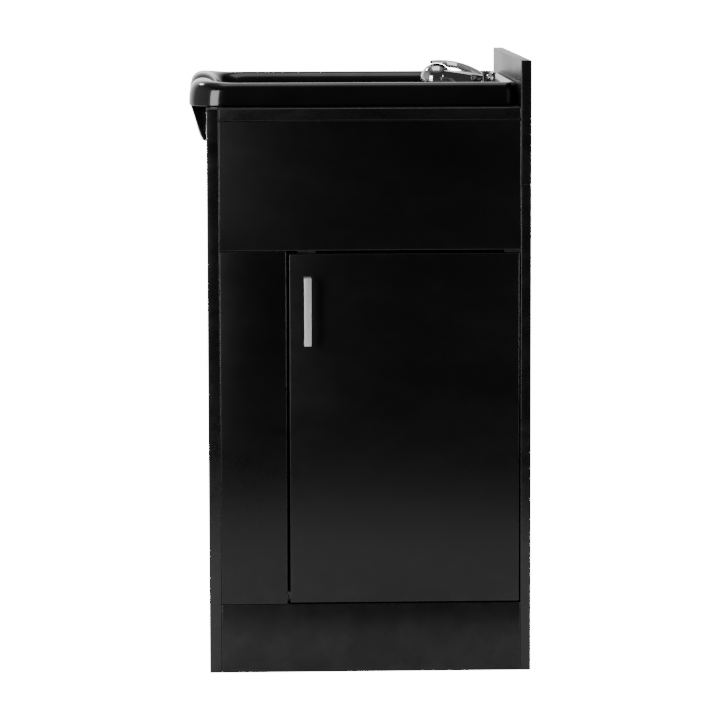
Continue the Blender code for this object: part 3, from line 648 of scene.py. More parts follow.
def make_handle():
    """A square bar pull: a U drawn in side view, pushed to its width, with softened corners."""
    low, high = span("door_handle")
    bar, leg = 0.0045, 0.0075
    form = bmesh.new()
    outline = [(high.y, low.z), (low.y, low.z), (low.y, high.z), (high.y, high.z),
               (high.y, high.z - leg), (low.y + bar, high.z - leg), (low.y + bar, low.z + leg),
               (high.y, low.z + leg)]
    face = form.faces.new([form.verts.new((low.x, y, z)) for y, z in outline])
    push_out(form, face, RIGHT * (high.x - low.x))
    corners = [edge for edge in along_axis(form, 0) if edge.verts[0].co.y < low.y + bar + SEAM]
    bmesh.ops.bevel(form, geom=corners, offset=0.0018, offset_type="OFFSET", segments=5, affect="EDGES",
                    profile=0.5, material=-1)
    round_edges(form, 0.0006, 3, 45.0)
    settle(form, "door_handle_finished", [SATIN_METAL], "door_leaf", ["door_handle"])


# The bowl


def ring_round(x_front, x_rear, half_width, front_radius, rear_radius, corner_cuts=10, side_cuts=10):
    """Points round a rectangle with round corners, counted anticlockwise from above."""
    corners = [(x_front + front_radius, -half_width + front_radius, front_radius, 180),
               (x_rear - rear_radius, -half_width + rear_radius, rear_radius, 270),
               (x_rear - rear_radius, half_width - rear_radius, rear_radius, 0),
               (x_front + front_radius, half_width - front_radius, front_radius, 90)]
    arcs = []
    for centre_x, centre_y, radius, start in corners:
        turns = [radians(start + 90 * step / corner_cuts) for step in range(corner_cuts + 1)]
        arcs.append([Vector((centre_x + radius * cos(a), centre_y + radius * sin(a), 0)) for a in turns])
    points = []
    for arc, following in zip(arcs[:3], arcs[1:]):
        points += arc
        points += [arc[-1].lerp(following[0], step / side_cuts) for step in range(1, side_cuts)]
    points += arcs[3]
    cuts = 36
    for step in range(cuts + 1):
        points.append(Vector((x_front, NECK_HALF_WIDTH * (1 - 2 * step / cuts), 0)))
    return points


def neck_weight(point):
    """How deep the neck dip is at a point of the front edge, from 0 to 1."""
    if abs(point.y) >= NECK_HALF_WIDTH or point.x > DRAIN_X:
        return 0.0
    return cos(pi * point.y / (2 * NECK_HALF_WIDTH)) ** 2


def lobe_weight(point):
    """Where the front roll swells on each side of the neck dip, from 0 to 1."""
    forward = max(0.0, min(1.0, (0.040 - point.x) / 0.055))
    return forward * forward * (3 - 2 * forward) * (1 - neck_weight(point))


def rim_ring(front_inset, inset, rear_inset, height, dip, tuck, lobe):
    """One line round the rim, with its dip and tuck at the neck and its share of the front lobes."""
    half = (BOWL_HIGH.y - BOWL_LOW.y) / 2
    ring = ring_round(BOWL_LOW.x + front_inset, BOWL_HIGH.x - rear_inset, half - inset,
                      max(FRONT_CORNER - 0.6 * inset, 0.012), max(REAR_CORNER - 0.4 * rear_inset, 0.008))
    for point in ring:
        weight = neck_weight(point)
        point.z = height - dip * weight + lobe * LOBE_RISE * lobe_weight(point)
        point.x += tuck * weight
    return ring


def mouth_ring(inset, height, dip):
    """The basin's mouth, which stops short of the bowl's back to leave the mixer's ledge."""
    half = (BOWL_HIGH.y - BOWL_LOW.y) / 2 - MOUTH_SIDE_MARGIN
    ring = ring_round(BOARD + MOUTH_FRONT_MARGIN + inset, BOWL_HIGH.x - LEDGE_LENGTH - inset, half - inset,
                      MOUTH_RADIUS, MOUTH_REAR_RADIUS)
    for point in ring:
        point.z = height - dip * neck_weight(point)
    return ring


def circle_ring(like, radius, height):
    """A circle round the drain whose points face those of another line."""
    centre = Vector((DRAIN_X, 0, height))
    return [centre + radius * Vector((p.x - DRAIN_X, p.y, 0)).normalized() for p in like]


def bowl_rings():
    """The moulding's lines from the tucked lip over the rim and down the basin to the drain."""
    skirt = DECK_TOP + 2 * SEAM
    tuck = -BOWL_LOW.x - BOWL_WALL - 4 * SEAM
    rows = [(0.0, 0.0, 0.0, skirt, NECK_LIP_DROP, tuck, 0.0),
            (0.0, 0.0, 0.0, skirt + 0.0012, NECK_LIP_DROP - 0.0016, 0.94 * tuck, 0.0),
            (0.0, 0.0, 0.0, skirt + 0.005, NECK_LIP_DROP - 0.006, 0.70 * tuck, 0.0),
            (0.0, 0.0, 0.0, skirt + 0.010, NECK_LIP_DROP - 0.016, 0.56 * tuck, 0.0),
            (0.0012, 0.0004, 0.0002, RIM_TOP - 0.017, 0.0458, 0.0074, 0.4),
            (0.0045, 0.0016, 0.0006, RIM_TOP - 0.008, 0.050, 0.001, 0.8),
            (0.0130, 0.0055, 0.0022, RIM_TOP - 0.002, 0.052, 0.0, 1.0),
            (0.0260, 0.0120, 0.0050, RIM_TOP, NECK_DROP, 0.0, 1.0),
            (0.0380, 0.0185, 0.0085, RIM_TOP - 0.003, NECK_DROP, 0.0, 0.7),
            (0.0455, 0.0240, 0.0125, RIM_TOP - 0.010, NECK_DROP - 0.006, 0.0, 0.3),
            (0.0500, 0.0290, 0.0160, LEDGE_Z + 0.004, 0.034, 0.0, 0.0),
            (0.0530, 0.0350, 0.0200, LEDGE_Z, 0.032, 0.0, 0.0)]
    rings = [rim_ring(*row) for row in rows]
    rings += [mouth_ring(0.000, LEDGE_Z - 0.001, 0.034), mouth_ring(0.006, LEDGE_Z - 0.005, 0.033)]
    mouth = rings[-1]
    floor = circle_ring(mouth, 0.045, FLOOR_Z)
    cuts = 14
    for step in range(1, cuts):
        turn = pi / 2 * step / cuts
        spread, depth = cos(turn) ** 0.6, sin(turn) ** 0.75
        ring = []
        for high, low in zip(mouth, floor):
            point = low.lerp(high, spread)
            point.z = high.z + (FLOOR_Z - high.z) * depth
            ring.append(point)
        rings.append(ring)
    rings += [floor, circle_ring(mouth, 0.034, SEAT_Z + 0.0012), circle_ring(mouth, 0.031, SEAT_Z),
              circle_ring(mouth, DRAIN_RADIUS + 0.001, SEAT_Z), circle_ring(mouth, DRAIN_RADIUS, SEAT_Z)]
    return rings


def make_bowl():
    """The basin and its rolled rim in one moulded skin, thickened inwards and smoothed."""
    form = bmesh.new()
    loft(form, bowl_rings(), closed_ends=False)
    bmesh.ops.recalc_face_normals(form, faces=form.faces)
    if sum(f.normal.z * f.calc_area() for f in form.faces) < 0:
        bmesh.ops.reverse_faces(form, faces=form.faces)
    piece = settle(form, "bowl_finished", [BOWL_PLASTIC], "unit", ["bowl"], 180.0)
    wall = piece.modifiers.new("Wall", "SOLIDIFY")
    wall.thickness = BOWL_WALL
    wall.offset = -1.0
    smooth = piece.modifiers.new("Smooth", "SUBSURF")
    smooth.levels = 1
    smooth.render_levels = 1


def make_neck_ribs():
    """Three thin ribs that stiffen the tucked lip below the neck dip, against the front panel."""
    skirt = DECK_TOP + 2 * SEAM
    reach = -BOWL_LOW.x - BOWL_WALL - 4 * SEAM
    heights = [(skirt, NECK_LIP_DROP, reach), (skirt + 0.005, NECK_LIP_DROP - 0.006, 0.70 * reach),
               (skirt + 0.010, NECK_LIP_DROP - 0.016, 0.56 * reach), (RIM_TOP - 0.017, 0.0458, 0.0074)]
    for number, across in enumerate((-0.034, 0.0, 0.034)):
        weight = cos(pi * across / (2 * NECK_HALF_WIDTH)) ** 2
        line = [(BOWL_LOW.x + tuck * weight + 0.0022, height - dip * weight) for height, dip, tuck in heights]
        line.append((-SEAM, line[-1][1]))
        line.append((-SEAM, line[0][1] + 0.0006))
        form = bmesh.new()
        side = form.faces.new([form.verts.new((x, across - RIB_THICKNESS / 2, z)) for x, z in line])
        push_out(form, side, BACKWARD * RIB_THICKNESS)
        settle(form, "neck_rib_%d" % (number + 1), [BOWL_PLASTIC], "unit")


# The mixer and the spray nipple


def capsule_ring(x_low, x_high, half_width, height, sides=20):
    """An outline with half-round ends, at one height."""
    ring = []
    for centre_x, start in ((x_high - half_width, -90), (x_low + half_width, 90)):
        turns = [radians(start + 180 * step / sides) for step in range(sides + 1)]
        ring += [Vector((centre_x + half_width * cos(a), half_width * sin(a), height)) for a in turns]
    return ring


def rounded_capsule(form, x_low, x_high, half_width, low, high, top_round, foot_round=0.0):
    """An upright block with half-round ends, a rounded top edge and a softened foot."""
    rings = []
    for step in range(4 if foot_round else 0):
        turn = pi / 2 * step / 4
        inset = foot_round * (1 - sin(turn))
        rings.append(capsule_ring(x_low + inset, x_high - inset, half_width - inset,
                                  low + foot_round * (1 - cos(turn))))
    rings.append(capsule_ring(x_low, x_high, half_width, low + foot_round))
    for step in range(7):
        turn = pi / 2 * step / 6
        inset = top_round * (1 - cos(turn))
        rings.append(capsule_ring(x_low + inset, x_high - inset, half_width - inset,
                                  high - top_round + top_round * sin(turn)))
    loft(form, rings)


def lever_under(x):
    """The height of the lever's lower side, which clears the dome and thins towards the end."""
    line = [(0.0179, 0.01856), (0.0330, 0.0165), (0.0450, 0.0115), (0.0755, 0.0066), (0.0766, 0.0066)]
    if x <= line[0][0]:
        return sqrt((DOME_RADIUS + 2 * SEAM) ** 2 - x * x)
    for (left, low), (right, high) in zip(line, line[1:]):
        if x <= right:
            return low + (high - low) * (x - left) / (right - left)
    return line[-1][1]


def body_top(point):
    """The body's upper side stays just under the lever wherever the lever is turned to."""
    away = sqrt((point.x - MIXER_X) ** 2 + point.y ** 2)
    return BALL_Z + lever_under(max(away, DOME_BORE)) - 0.0009


def make_mixer_body():
    """A rounded foot and a body whose top falls from the dome to the rear, bored for the dome."""
    low, high = span("mixer_body")
    foot_top = low.z + 0.0057
    shell = bmesh.new()
    x_low, x_high, half_width, rounding = low.x + 0.002, high.x - 0.003, 0.0232, 0.0028
    rings = [capsule_ring(x_low, x_high, half_width, foot_top - 0.001)]
    for step in range(7):
        turn = pi / 2 * step / 6
        inset = rounding * (1 - cos(turn))
        rings.append(capsule_ring(x_low + inset, x_high - inset, half_width - inset, 0))
        for point in rings[-1]:
            point.z = body_top(point) - rounding + rounding * sin(turn)
    for inset in (0.008, 0.012, 0.016, 0.0195, 0.0222):
        rings.append(capsule_ring(x_low + inset, x_high - inset, half_width - inset, 0))
        for point in rings[-1]:
            point.z = body_top(point)
    loft(shell, rings)
    bmesh.ops.recalc_face_normals(shell, faces=shell.faces)
    bore = bmesh.new()
    depth = 0.05
    add_cylinder(bore, (MIXER_X, 0, BALL_Z - 0.0006 + depth / 2), UP, DOME_BORE, depth, 96)
    form = subtract(shell, bore)
    rounded_capsule(form, low.x, high.x, (high.y - low.y) / 2, low.z, foot_top, 0.0022, 0.0006)
    reach, rise = DOME_RADIUS - 0.0002, BALL_Z - 0.0006 - foot_top
    collar = [(0, 0), (reach - 0.0016, 0), (reach - 0.0016, rise - 0.0060), (reach, rise - 0.0050),
              (reach, rise), (reach - 0.003, rise), (reach - 0.003, rise - 0.004), (0, rise - 0.004)]
    turn_profile(form, rounded_profile(collar, 0.0006), (MIXER_X, 0, foot_top), UP, 72)
    settle(form, "mixer_body_finished", [CHROME], "unit", ["mixer_body"], 50.0)


def make_dome():
    """A thin turned cap over the ball, with a slot for the lever's stem."""
    cuts = 20
    outer = [(DOME_RADIUS * sin(t), DOME_RADIUS * cos(t)) for t in
             (pi / 2 * step / cuts for step in range(cuts + 1))]
    share = 1 - DOME_WALL / DOME_RADIUS
    inner = [(radius * share, height * share) for radius, height in reversed(outer)]
    form = bmesh.new()
    turn_profile(form, outer + inner, (MIXER_X, 0, BALL_Z), (0, 0, 1), 72)
    slot = bmesh.new()
    block(slot, (MIXER_X - SLOT_FRONT, -SLOT_HALF_WIDTH, BALL_Z + 0.008),
          (MIXER_X + SLOT_HALF_WIDTH, SLOT_HALF_WIDTH, BALL_Z + 0.05))
    bmesh.ops.bevel(slot, geom=along_axis(slot, 2), offset=0.0036, offset_type="OFFSET", segments=6,
                    affect="EDGES", profile=0.5, material=-1)
    form = subtract(form, slot)
    settle(form, "mixer_dome_finished", [CHROME], "mixer_cap", ["mixer_dome"], 35.0)


def lever_top(x):
    """The height of the lever's upper curve about the ball, at a distance behind the ball."""
    return LEVER_TOP_RISE - BALL_RISE - LEVER_ARC + sqrt(LEVER_ARC ** 2 - (x - 0.005) ** 2)


def make_lever():
    """A broad curved blade over the dome: arched across, flat below, round at its ends."""
    start, end, steps, arch_steps = -0.0108, 0.0765, 48, 22
    form = bmesh.new()
    rings = []
    for step in range(steps + 1):
        x = start + (end - start) * step / steps
        nose = sqrt(max(0.0, 1 - (1 - min(1.0, (x - start) / 0.005)) ** 2))
        heel = sqrt(max(0.0, 1 - (1 - min(1.0, (end - x) / 0.004)) ** 2))
        full = max(0.12, min(nose, heel))
        top, under = lever_top(x), lever_under(x)
        half_width = LEVER_HALF_WIDTH * (0.45 + 0.55 * full)
        middle_height = under + (top - under) * 0.55
        top = middle_height + (top - middle_height) * full
        low = middle_height + (under - middle_height) * full
        edge = low + (top - low) * 0.22
        ring = []
        for number in range(arch_steps + 1):
            across = -cos(pi * number / arch_steps)
            rise = edge + (top - edge) * (1 - abs(across) ** 2.1)
            ring.append(Vector((MIXER_X + x, half_width * across, BALL_Z + rise)))
        for across in (0.96, 0.80, 0.40, -0.40, -0.80, -0.96):
            lift = (edge - low) * 0.35 if abs(across) > 0.9 else 0.0
            ring.append(Vector((MIXER_X + x, half_width * across, BALL_Z + low + lift)))
        rings.append(ring)
    loft(form, rings)
    bmesh.ops.recalc_face_normals(form, faces=form.faces)
    # The lever's front tip gets the painted shadow colour instead of chrome.
    for face in form.faces:
        face.material_index = 1 if face.calc_center_median().x < MIXER_X - 0.0074 else 0
    settle(form, "mixer_lever_finished", [CHROME, PAINTED_SHADOW_BLACK], "lever", ["mixer_lever"], 50.0)


def make_nipple():
    """The upright inlet for a spray hose, with its flange and its grooved end."""
    low, high = span("spray_nipple")
    rise = high.z - low.z
    ledge = LEDGE_Z - low.z
    profile = [(0, 0), (0.004, 0), (0.004, ledge), (0.0074, ledge + SEAM), (0.0074, ledge + 0.0016),
               (0.0055, ledge + 0.0034), (0.0034, ledge + 0.0042), (0.0034, rise - 0.0130),
               (0.0039, rise - 0.0124), (0.0039, rise - 0.0108), (0.0034, rise - 0.0102),
               (0.0034, rise - 0.0040), (0.0043, rise - 0.0034), (0.0043, rise - 0.0006),
               (0.0037, rise), (0.0018, rise), (0.0018, rise - 0.006), (0, rise - 0.006)]
    form = bmesh.new()
    turn_profile(form, rounded_profile(profile, 0.0004, 3), (NIPPLE.x, NIPPLE.y, low.z))
    settle(form, "spray_nipple_finished", [CHROME], "unit", ["spray_nipple"], 50.0)


# The boards that are cut


def make_front_panel():
    """The panel at the client's side, dipped at its top to clear the neck rest."""
    cuts = 48
    panel, outline = bmesh.new(), bmesh.new()
    block(panel, *span("front_panel"))
    line = [(NECK_HALF_WIDTH, DECK_TOP + NOTCH_DEPTH), (-NECK_HALF_WIDTH, DECK_TOP + NOTCH_DEPTH)]
    for step in range(cuts + 1):
        across = -NECK_HALF_WIDTH + 2 * NECK_HALF_WIDTH * step / cuts
        line.append((across, DECK_TOP - NOTCH_DEPTH * cos(pi * across / (2 * NECK_HALF_WIDTH)) ** 2))
    side = outline.faces.new([outline.verts.new((-BOARD, y, z)) for y, z in line])
    push_out(outline, side, RIGHT * 3 * BOARD)
    finish_board(subtract(panel, outline), "front_panel")


def make_deck():
    """The deck, with the opening that the basin drops through."""
    deck, opening = bmesh.new(), bmesh.new()
    block(deck, *span("deck_board"))
    half, rear = BOWL_HIGH.y - CUTOUT_SIDE_MARGIN, BOWL_HIGH.x - CUTOUT_REAR_MARGIN
    block(opening, (-BOARD, -half, DECK_TOP - 2 * BOARD), (rear, half, DECK_TOP + BOARD))
    finish_board(subtract(deck, opening), "deck_board")


def make_back_panel():
    """The back, with the waste pipe's hole."""
    back, hole = bmesh.new(), bmesh.new()
    block(back, *span("back_panel"))
    place = (BACK_INNER + BOARD / 2, 0, middle("pipe_cover").z)
    add_cylinder(hole, place, RIGHT, PIPE_RADIUS + 0.003, 3 * BOARD, 56)
    finish_board(subtract(back, hole), "back_panel")


# Hinges, screws and catches


def add_screw(form, place, axis, radius):
    """A low round screw head with a driver's recess."""
    head = radius * 0.55
    profile = [(0, head * 0.25), (radius * 0.30, head * 0.25), (radius * 0.34, head * 0.95),
               (radius * 0.62, head), (radius * 0.90, head * 0.62), (radius, 0.0002), (radius, 0), (0, 0)]
    turn_profile(form, profile, place, axis, 24)


def make_hinge_cup(level):
    low, high = span("hinge_cup_" + level)
    centre = (low + high) / 2
    radius, depth, sheet, flange = HINGE_CUP_RADIUS, 0.0118, 0.0012, 0.003
    profile = [(0, 0), (radius, 0), (radius, depth), (radius + flange, depth),
               (radius + flange, depth + sheet), (radius - 0.002, depth + sheet), (radius - 0.002, sheet),
               (0, sheet)]
    cup = bmesh.new()
    turn_profile(cup, rounded_profile(profile, 0.0005, 3), (centre.x, low.y, centre.z), BACKWARD, 56)
    settle(cup, "hinge_cup_%s_finished" % level, [NICKEL], "door_leaf", ["hinge_cup_" + level])


def make_hinge_metal(node, rounding, segments, screws, radius):
    """A hinge's arm or plate: a softened bar with screw heads on its inner side."""
    low, high = span(node)
    form = soft_block(low, high, rounding, segments)
    for y, z in screws:
        add_screw(form, (low.x + 0.0001, y, z), -RIGHT, radius)
    settle(form, node + "_finished", [NICKEL], "unit", [node])


def make_hinges():
    for level in ("upper", "lower"):
        make_hinge_cup(level)
        arm, plate = "hinge_arm_" + level, "hinge_plate_" + level
        screws = [(span(arm)[0].y + reach, middle(arm).z) for reach in (0.012, 0.030, 0.048)]
        make_hinge_metal(arm, 0.0018, 4, screws, 0.0036)
        screws = [(middle(plate).y, middle(plate).z + offset) for offset in (-0.0165, 0.0165)]
        make_hinge_metal(plate, 0.0009, 3, screws, 0.0038)


def make_lower_catch():
    low, high = span("catch_lower")
    form = soft_block(low, high, 0.0016)
    for reach in (0.007, 0.035):
        place = (low.x + reach, (low.y + high.y) / 2 + 0.003, high.z - 0.0001)
        add_screw(form, place, UP, 0.0034)
    settle(form, "catch_lower_finished", [WHITE_PLASTIC], "unit", ["catch_lower"])


def make_strikes():
    for level in ("upper", "lower"):
        low, high = span("strike_" + level)
        form = soft_block(low, high, 0.0003, 2)
        place = ((low.x + high.x) / 2, high.y - 0.0001, (low.z + high.z) / 2)
        add_screw(form, place, BACKWARD, 0.0004)
        settle(form, "strike_%s_finished" % level, [STEEL], "door_leaf", ["strike_" + level])


def dress_small_parts():
    """Materials for the small parts that keep their own shape."""
    looks = {"catch_upper": NICKEL, "corner_bracket": STEEL, "handle_screw_upper": STEEL,
             "handle_screw_lower": STEEL, "mixer_ball": STEEL, "mixer_shank_cold": BRASS,
             "mixer_shank_hot": BRASS, "shank_nut_cold": BRASS, "shank_nut_hot": BRASS,
             "nipple_nut": BRASS, "drain_washer": RUBBER, "drain_nut": WHITE_PLASTIC}
    for node, look in looks.items():
        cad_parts[node].data.materials.clear()
        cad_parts[node].data.materials.append(look)


# The waste


def make_strainer():
    """A turned grating with three rings of holes, on its threaded tail."""
    low, high = span("drain_strainer")
    length, flange = high.z - low.z, 0.0315
    profile = [(0, -0.003), (0.019, -0.003), (0.019, -length), (0.022, -length), (0.022, -0.003),
               (flange, -0.003), (flange, -0.002), (0.029, 0), (0.0200, -0.0008), (0.0192, -0.0013),
               (0, -0.0013)]
    form = bmesh.new()
    turn_profile(form, profile, (DRAIN_X, 0, high.z), UP, 72)
    holes = bmesh.new()
    for count, reach in ((1, 0.0), (6, 0.0062), (12, 0.0132)):
        for step in range(count):
            turn = 2 * pi * step / count
            place = (DRAIN_X + reach * cos(turn), reach * sin(turn), high.z)
            add_cylinder(holes, place, UP, 0.0021, 0.012, 20)
    settle(subtract(form, holes), "drain_strainer_finished", [STAINLESS], "unit",
           ["drain_strainer"])


def make_slip_nut(node, neck):
    """A hand nut with ribs round its outside."""
    low, high = span(node)
    centre, outer = (low + high) / 2, (high.x - low.x) / 2
    rise = high.z - low.z
    profile = [(neck, 0), (outer - 0.004, 0), (outer, 0.005), (outer, rise - 0.001), (outer - 0.0008, rise),
               (outer - 0.006, rise), (outer - 0.006, 0.008), (neck, 0.008), (neck, 0)]
    form = bmesh.new()
    made = turn_profile(form, profile, (centre.x, centre.y, low.z), UP, 96)
    for vert in made:
        away = Vector((vert.co.x - centre.x, vert.co.y - centre.y, 0))
        step = round((away.to_2d().angle_signed(Vector((1, 0)), 0) / (2 * pi)) * 96) % 4
        if away.length > outer - 0.0014 and step < 2:
            vert.co -= away.normalized() * 0.0012
    settle(form, node + "_finished", [WHITE_PLASTIC], "unit", [node], 30.0)


def make_pipe(node, points):
    """A white waste pipe along a line of points, with its wall inside."""
    form = bmesh.new()
    loft(form, sweep_ring(points, PIPE_RADIUS, 48), closed_ends=False)
    bmesh.ops.recalc_face_normals(form, faces=form.faces)
    sample = form.faces[0]
    nearest = min(points, key=lambda point: (point - sample.calc_center_median()).length)
    if sample.normal.dot(sample.calc_center_median() - nearest) < 0:
        bmesh.ops.reverse_faces(form, faces=form.faces)
    piece = settle(form, node + "_finished", [WHITE_PLASTIC], "unit", [node], 60.0)
    thick = piece.modifiers.new("Wall", "SOLIDIFY")
    thick.thickness = PIPE_WALL
    thick.offset = -1.0


def arc(centre_x, centre_z, start, sweep, radius, steps):
    turns = [radians(start + sweep * step / steps) for step in range(steps + 1)]
    return [Vector((centre_x + radius * cos(a), 0, centre_z + radius * sin(a))) for a in turns]


def make_waste():
    make_strainer()
    low, high = span("tailpiece")
    make_pipe("tailpiece", [Vector((DRAIN_X, 0, high.z)), Vector((DRAIN_X, 0, low.z))])
    low, high = span("trap_bend")
    turn, elbow = TRAP_BEND_RADIUS, ELBOW_RADIUS
    turn_z = low.z + PIPE_RADIUS + turn
    rise_x = DRAIN_X + 2 * turn
    bend = [Vector((DRAIN_X, 0, high.z)), Vector((DRAIN_X, 0, turn_z + 0.002))]
    bend += arc(DRAIN_X + turn, turn_z, 180, 180, turn, 36)
    arm_low, arm_high = span("trap_arm")
    bend += [Vector((rise_x, 0, arm_low.z - SEAM))]
    make_pipe("trap_bend", bend)
    elbow_z = arm_high.z - PIPE_RADIUS - elbow
    arm = [Vector((rise_x, 0, arm_low.z)), Vector((rise_x, 0, elbow_z - 0.002))]
    arm += arc(rise_x + elbow, elbow_z, 180, -90, elbow, 24)
    arm += [Vector((arm_high.x, 0, elbow_z + elbow))]
    make_pipe("trap_arm", arm)
    for node in ("slip_nut_upper", "slip_nut_middle", "slip_nut_lower"):
        make_slip_nut(node, PIPE_RADIUS + PIPE_CLEARANCE)
    low, high = span("pipe_cover")
    neck = PIPE_RADIUS + PIPE_CLEARANCE
    profile = [(neck, 0), (0.034, 0), (0.0338, 0.0012), (0.030, 0.005), (0.024, 0.0072), (neck, 0.008),
               (neck, 0)]
    form = bmesh.new()
    turn_profile(form, profile, (high.x, 0, (low.z + high.z) / 2), -RIGHT, 72)
    settle(form, "pipe_cover_finished", [CHROME], "unit", ["pipe_cover"])


# The supplies


def make_hose(side, steps=60, sides=24):
    """A braided hose that leaves both ends upright, with a crimped ferrule at each end."""
    low, high = span("supply_hose_" + side)
    radius = HOSE_RADIUS
    valve = middle("stop_valve_" + side)
    start = Vector((span("stop_valve_" + side)[1].x - VALVE_REACH, valve.y, low.z))
    end = Vector((middle("mixer_shank_" + side).x, 0, high.z))
    points = []
    for step in range(steps + 1):
        part = step / steps
        point = start.lerp(end, part * part * (3 - 2 * part))
        point.z = start.z + (end.z - start.z) * part
        points.append(point)
    form = bmesh.new()
    rings = []
    for number, point in enumerate(points):
        before, after = points[max(number - 1, 0)], points[min(number + 1, steps)]
        lean = (after - before).normalized()
        turn = UP.rotation_difference(lean).to_matrix()
        rings.append([point + turn @ Vector((radius * cos(a), radius * sin(a), 0))
                      for a in (2 * pi * side_number / sides for side_number in range(sides))])
    loft(form, rings, closed_ends=False)
    bmesh.ops.recalc_face_normals(form, faces=form.faces)
    places = {tuple(round(value, 5) for value in point): (row, number)
              for row, ring in enumerate(rings) for number, point in enumerate(ring)}
    layer = form.loops.layers.uv.new("UVMap")
    length = sum((after - before).length for before, after in zip(points, points[1:]))
    for face in form.faces:
        marks = [places[tuple(round(value, 5) for value in loop.vert.co)] for loop in face.loops]
        wraps = max(mark[1] for mark in marks) == sides - 1 and min(mark[1] for mark in marks) == 0
        for loop, (row, number) in zip(face.loops, marks):
            around = sides if wraps and number == 0 else number
            loop[layer].uv = (around / sides, row / steps * length / (2 * pi * radius))
    settle(form, "supply_hose_%s_finished" % side, [BRAID], "unit", ["supply_hose_" + side], 60.0)
    ferrules = bmesh.new()
    for place, axis in ((points[0], points[1] - points[0]), (points[-1], points[-2] - points[-1])):
        reach = radius + 0.0011
        profile = [(reach - 0.001, 0), (reach, 0.0004), (reach, 0.005), (reach - 0.0006, 0.0058),
                   (reach, 0.0066), (reach, 0.0120), (reach - 0.0006, 0.0128), (reach, 0.0136),
                   (reach, 0.0178), (reach - 0.0009, 0.0184)]
        turn_profile(ferrules, profile, place, axis, 40)
    settle(ferrules, "hose_ferrules_" + side, [STEEL], "unit", (), 50.0)


def make_stop_valve(side):
    low, high = span("stop_valve_" + side)
    centre = Vector((high.x, (low.y + high.y) / 2, middle("stop_handle_" + side).z))
    reach = high.x - low.x
    profile = [(0, 0), (0.022, 0), (0.0215, 0.0012), (0.018, 0.004), (0.009, 0.005), (0.009, 0.016),
               (0.0125, 0.017), (0.0125, reach - 0.008), (0.008, reach - 0.007), (0.008, reach), (0, reach)]
    form = bmesh.new()
    turn_profile(form, rounded_profile(profile, 0.0007, 3), centre, -RIGHT, 56)
    outlet = [(0, 0), (0.0085, 0), (0.0085, 0.021), (0.0072, 0.0216), (0.0072, 0.0232), (0.0085, 0.0238),
              (0.0085, 0.0292), (0.0078, high.z - centre.z), (0, high.z - centre.z)]
    turn_profile(form, outlet, centre - RIGHT * VALVE_REACH, UP, 48)
    settle(form, "stop_valve_%s_finished" % side, [CHROME], "unit", ["stop_valve_" + side])
    make_stop_handle(side, centre)


def make_stop_handle(side, centre):
    """A valve's oval knob with rounded edges, held by one screw."""
    low, high = span("stop_handle_" + side)
    half_length, half_width, rounding = 0.019, 0.011, 0.0018
    half_depth = (high.x - low.x) / 2
    rings = []
    for step in range(13):
        turn = -pi / 2 + pi * step / 12
        inset = rounding * (1 - cos(turn))
        straight = 0 if step == 6 else (half_depth - rounding) * (1 if step > 6 else -1)
        rings.append(capsule_ring(-half_length + inset, half_length - inset, half_width - inset,
                                  straight + rounding * sin(turn)))
    knob = bmesh.new()
    loft(knob, rings)
    bmesh.ops.recalc_face_normals(knob, faces=knob.faces)
    place = Matrix.Translation((low + high) / 2) @ Matrix.Rotation(pi / 2, 4, "Y")
    bmesh.ops.transform(knob, matrix=place, verts=knob.verts)
    add_screw(knob, (low.x + 0.0001, centre.y, centre.z), -RIGHT, 0.0042)
    settle(knob, "stop_handle_%s_finished" % side, [CHROME], side + "_stop",
           ["stop_handle_" + side], 50.0)


# The studio


def make_camera():
    """A long lens that looks a little down at the door side."""
    distance, yaw, pitch, roll = 6.14, radians(2.193), radians(6.505), radians(-0.142)
    data = bpy.data.cameras.new("camera")
    data.lens, data.sensor_width = 195.80, 36.0
    data.clip_end = 60.0
    camera = bpy.data.objects.new("camera", data)
    bpy.context.scene.collection.objects.link(camera)
    camera.location = ORIGIN + Vector((0.0049, FACE_Y - distance, 1.2005))
    turn = Matrix.Rotation(-yaw, 4, "Z") @ Matrix.Rotation(pi / 2 - pitch, 4, "X")
    camera.rotation_euler = (turn @ Matrix.Rotation(roll, 4, "Z")).to_euler()
    bpy.context.scene.camera = camera


def make_world():
    """A white surround to look at; for light, bright behind and above and dim in front."""
    world = bpy.data.worlds.new("studio")
    world.use_nodes = True
    bpy.context.scene.world = world
    wiring = Wiring(world.node_tree)
    wiring.tree.nodes.clear()
    seen = wiring.add("ShaderNodeBackground", {"Color": (1, 1, 1, 1), "Strength": WHITE})
    direction = wiring.add("ShaderNodeTexCoord").outputs["Generated"]
    split = wiring.add("ShaderNodeSeparateXYZ", {"Vector": direction})
    behind = wiring.ramp(split.outputs["Y"], 0.42, 0.92, 0.05, 2.1)
    above = wiring.ramp(split.outputs["Z"], 0.70, 0.98, 0.0, 0.35)
    side = wiring.ramp(split.outputs["X"], -0.60, -0.95, 0.0, 0.45)
    shade = wiring.math("ADD", wiring.math("ADD", behind, above), side)
    lit = wiring.add("ShaderNodeBackground", {"Strength": shade})
    rays = wiring.add("ShaderNodeLightPath").outputs["Is Camera Ray"]
    blend = wiring.add("ShaderNodeMixShader")
    wiring.put(rays, blend.inputs[0])
    wiring.put(lit.outputs[0], blend.inputs[1])
    wiring.put(seen.outputs[0], blend.inputs[2])
    output = wiring.add("ShaderNodeOutputWorld")
    wiring.put(blend.outputs[0], output.inputs["Surface"])


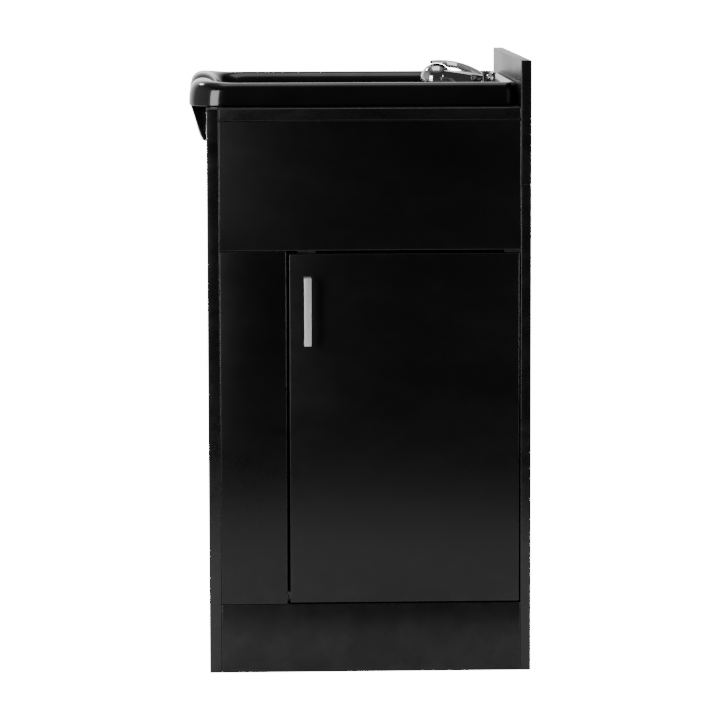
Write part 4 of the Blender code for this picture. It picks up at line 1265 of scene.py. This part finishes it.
def make_floor():
    """A plain near-white floor under the unit."""
    form = bmesh.new()
    bmesh.ops.create_circle(form, cap_ends=True, segments=96, radius=FLOOR_RADIUS,
                            matrix=Matrix.Translation((0, 0, -0.0005)))
    mesh = bpy.data.meshes.new("floor")
    form.to_mesh(mesh)
    form.free()
    finish = Finish("white_floor", Emission_Strength=WHITE)
    finish.smears(0.7, 0.9, 2.0)
    speckle = finish.ramp(finish.noise(finish.place, 12.0, 4.0), 0.3, 0.7)
    finish.set("Base Color", finish.mix(speckle, (0.90, 0.90, 0.90, 1), (0.92, 0.92, 0.92, 1)))
    seen = finish.add("ShaderNodeLightPath").outputs["Is Camera Ray"]
    glow = FLOOR_GLOW / WHITE
    finish.set("Emission Color", finish.mix(seen, (glow, glow, glow, 1), (1, 1, 1, 1)))
    mesh.materials.append(finish.material)
    floor = bpy.data.objects.new("floor", mesh)
    bpy.context.scene.collection.objects.link(floor)


def make_lamp(name, place, target, size, power, height=None):
    """A square or upright lamp panel turned towards a point."""
    data = bpy.data.lights.new(name, "AREA")
    data.energy = power
    data.size = size
    if height:
        data.shape = "RECTANGLE"
        data.size_y = height
    lamp = bpy.data.objects.new(name, data)
    bpy.context.scene.collection.objects.link(lamp)
    lamp.location = place
    lamp.rotation_euler = (Vector(target) - Vector(place)).to_track_quat("-Z", "Y").to_euler()


def make_studio():
    make_camera()
    make_world()
    make_floor()
    make_lamp("overhead", (0.1, -0.1, 3.0), (0.1, 0.0, 0.8), 1.5, 9.0)
    make_lamp("left_panel", (-1.95, -2.35, 1.05), (0, 0, 0.75), 1.25, 52.0, 2.0)
    make_lamp("right_panel", (2.8, -1.6, 1.2), (0, 0, 0.7), 1.0, 60.0, 1.8)
    make_lamp("far_left_top", (-2.0, 1.5, 3.0), (0, 0, 0.9), 0.45, 30.0)


make_studio()
make_cabinet()
make_door()
make_handle()
make_bowl()
make_neck_ribs()
make_mixer_body()
make_dome()
make_lever()
make_nipple()
make_front_panel()
make_deck()
make_back_panel()
make_hinges()
make_lower_catch()
make_strikes()
dress_small_parts()
make_waste()
for water in ("cold", "hot"):
    make_hose(water)
    make_stop_valve(water)
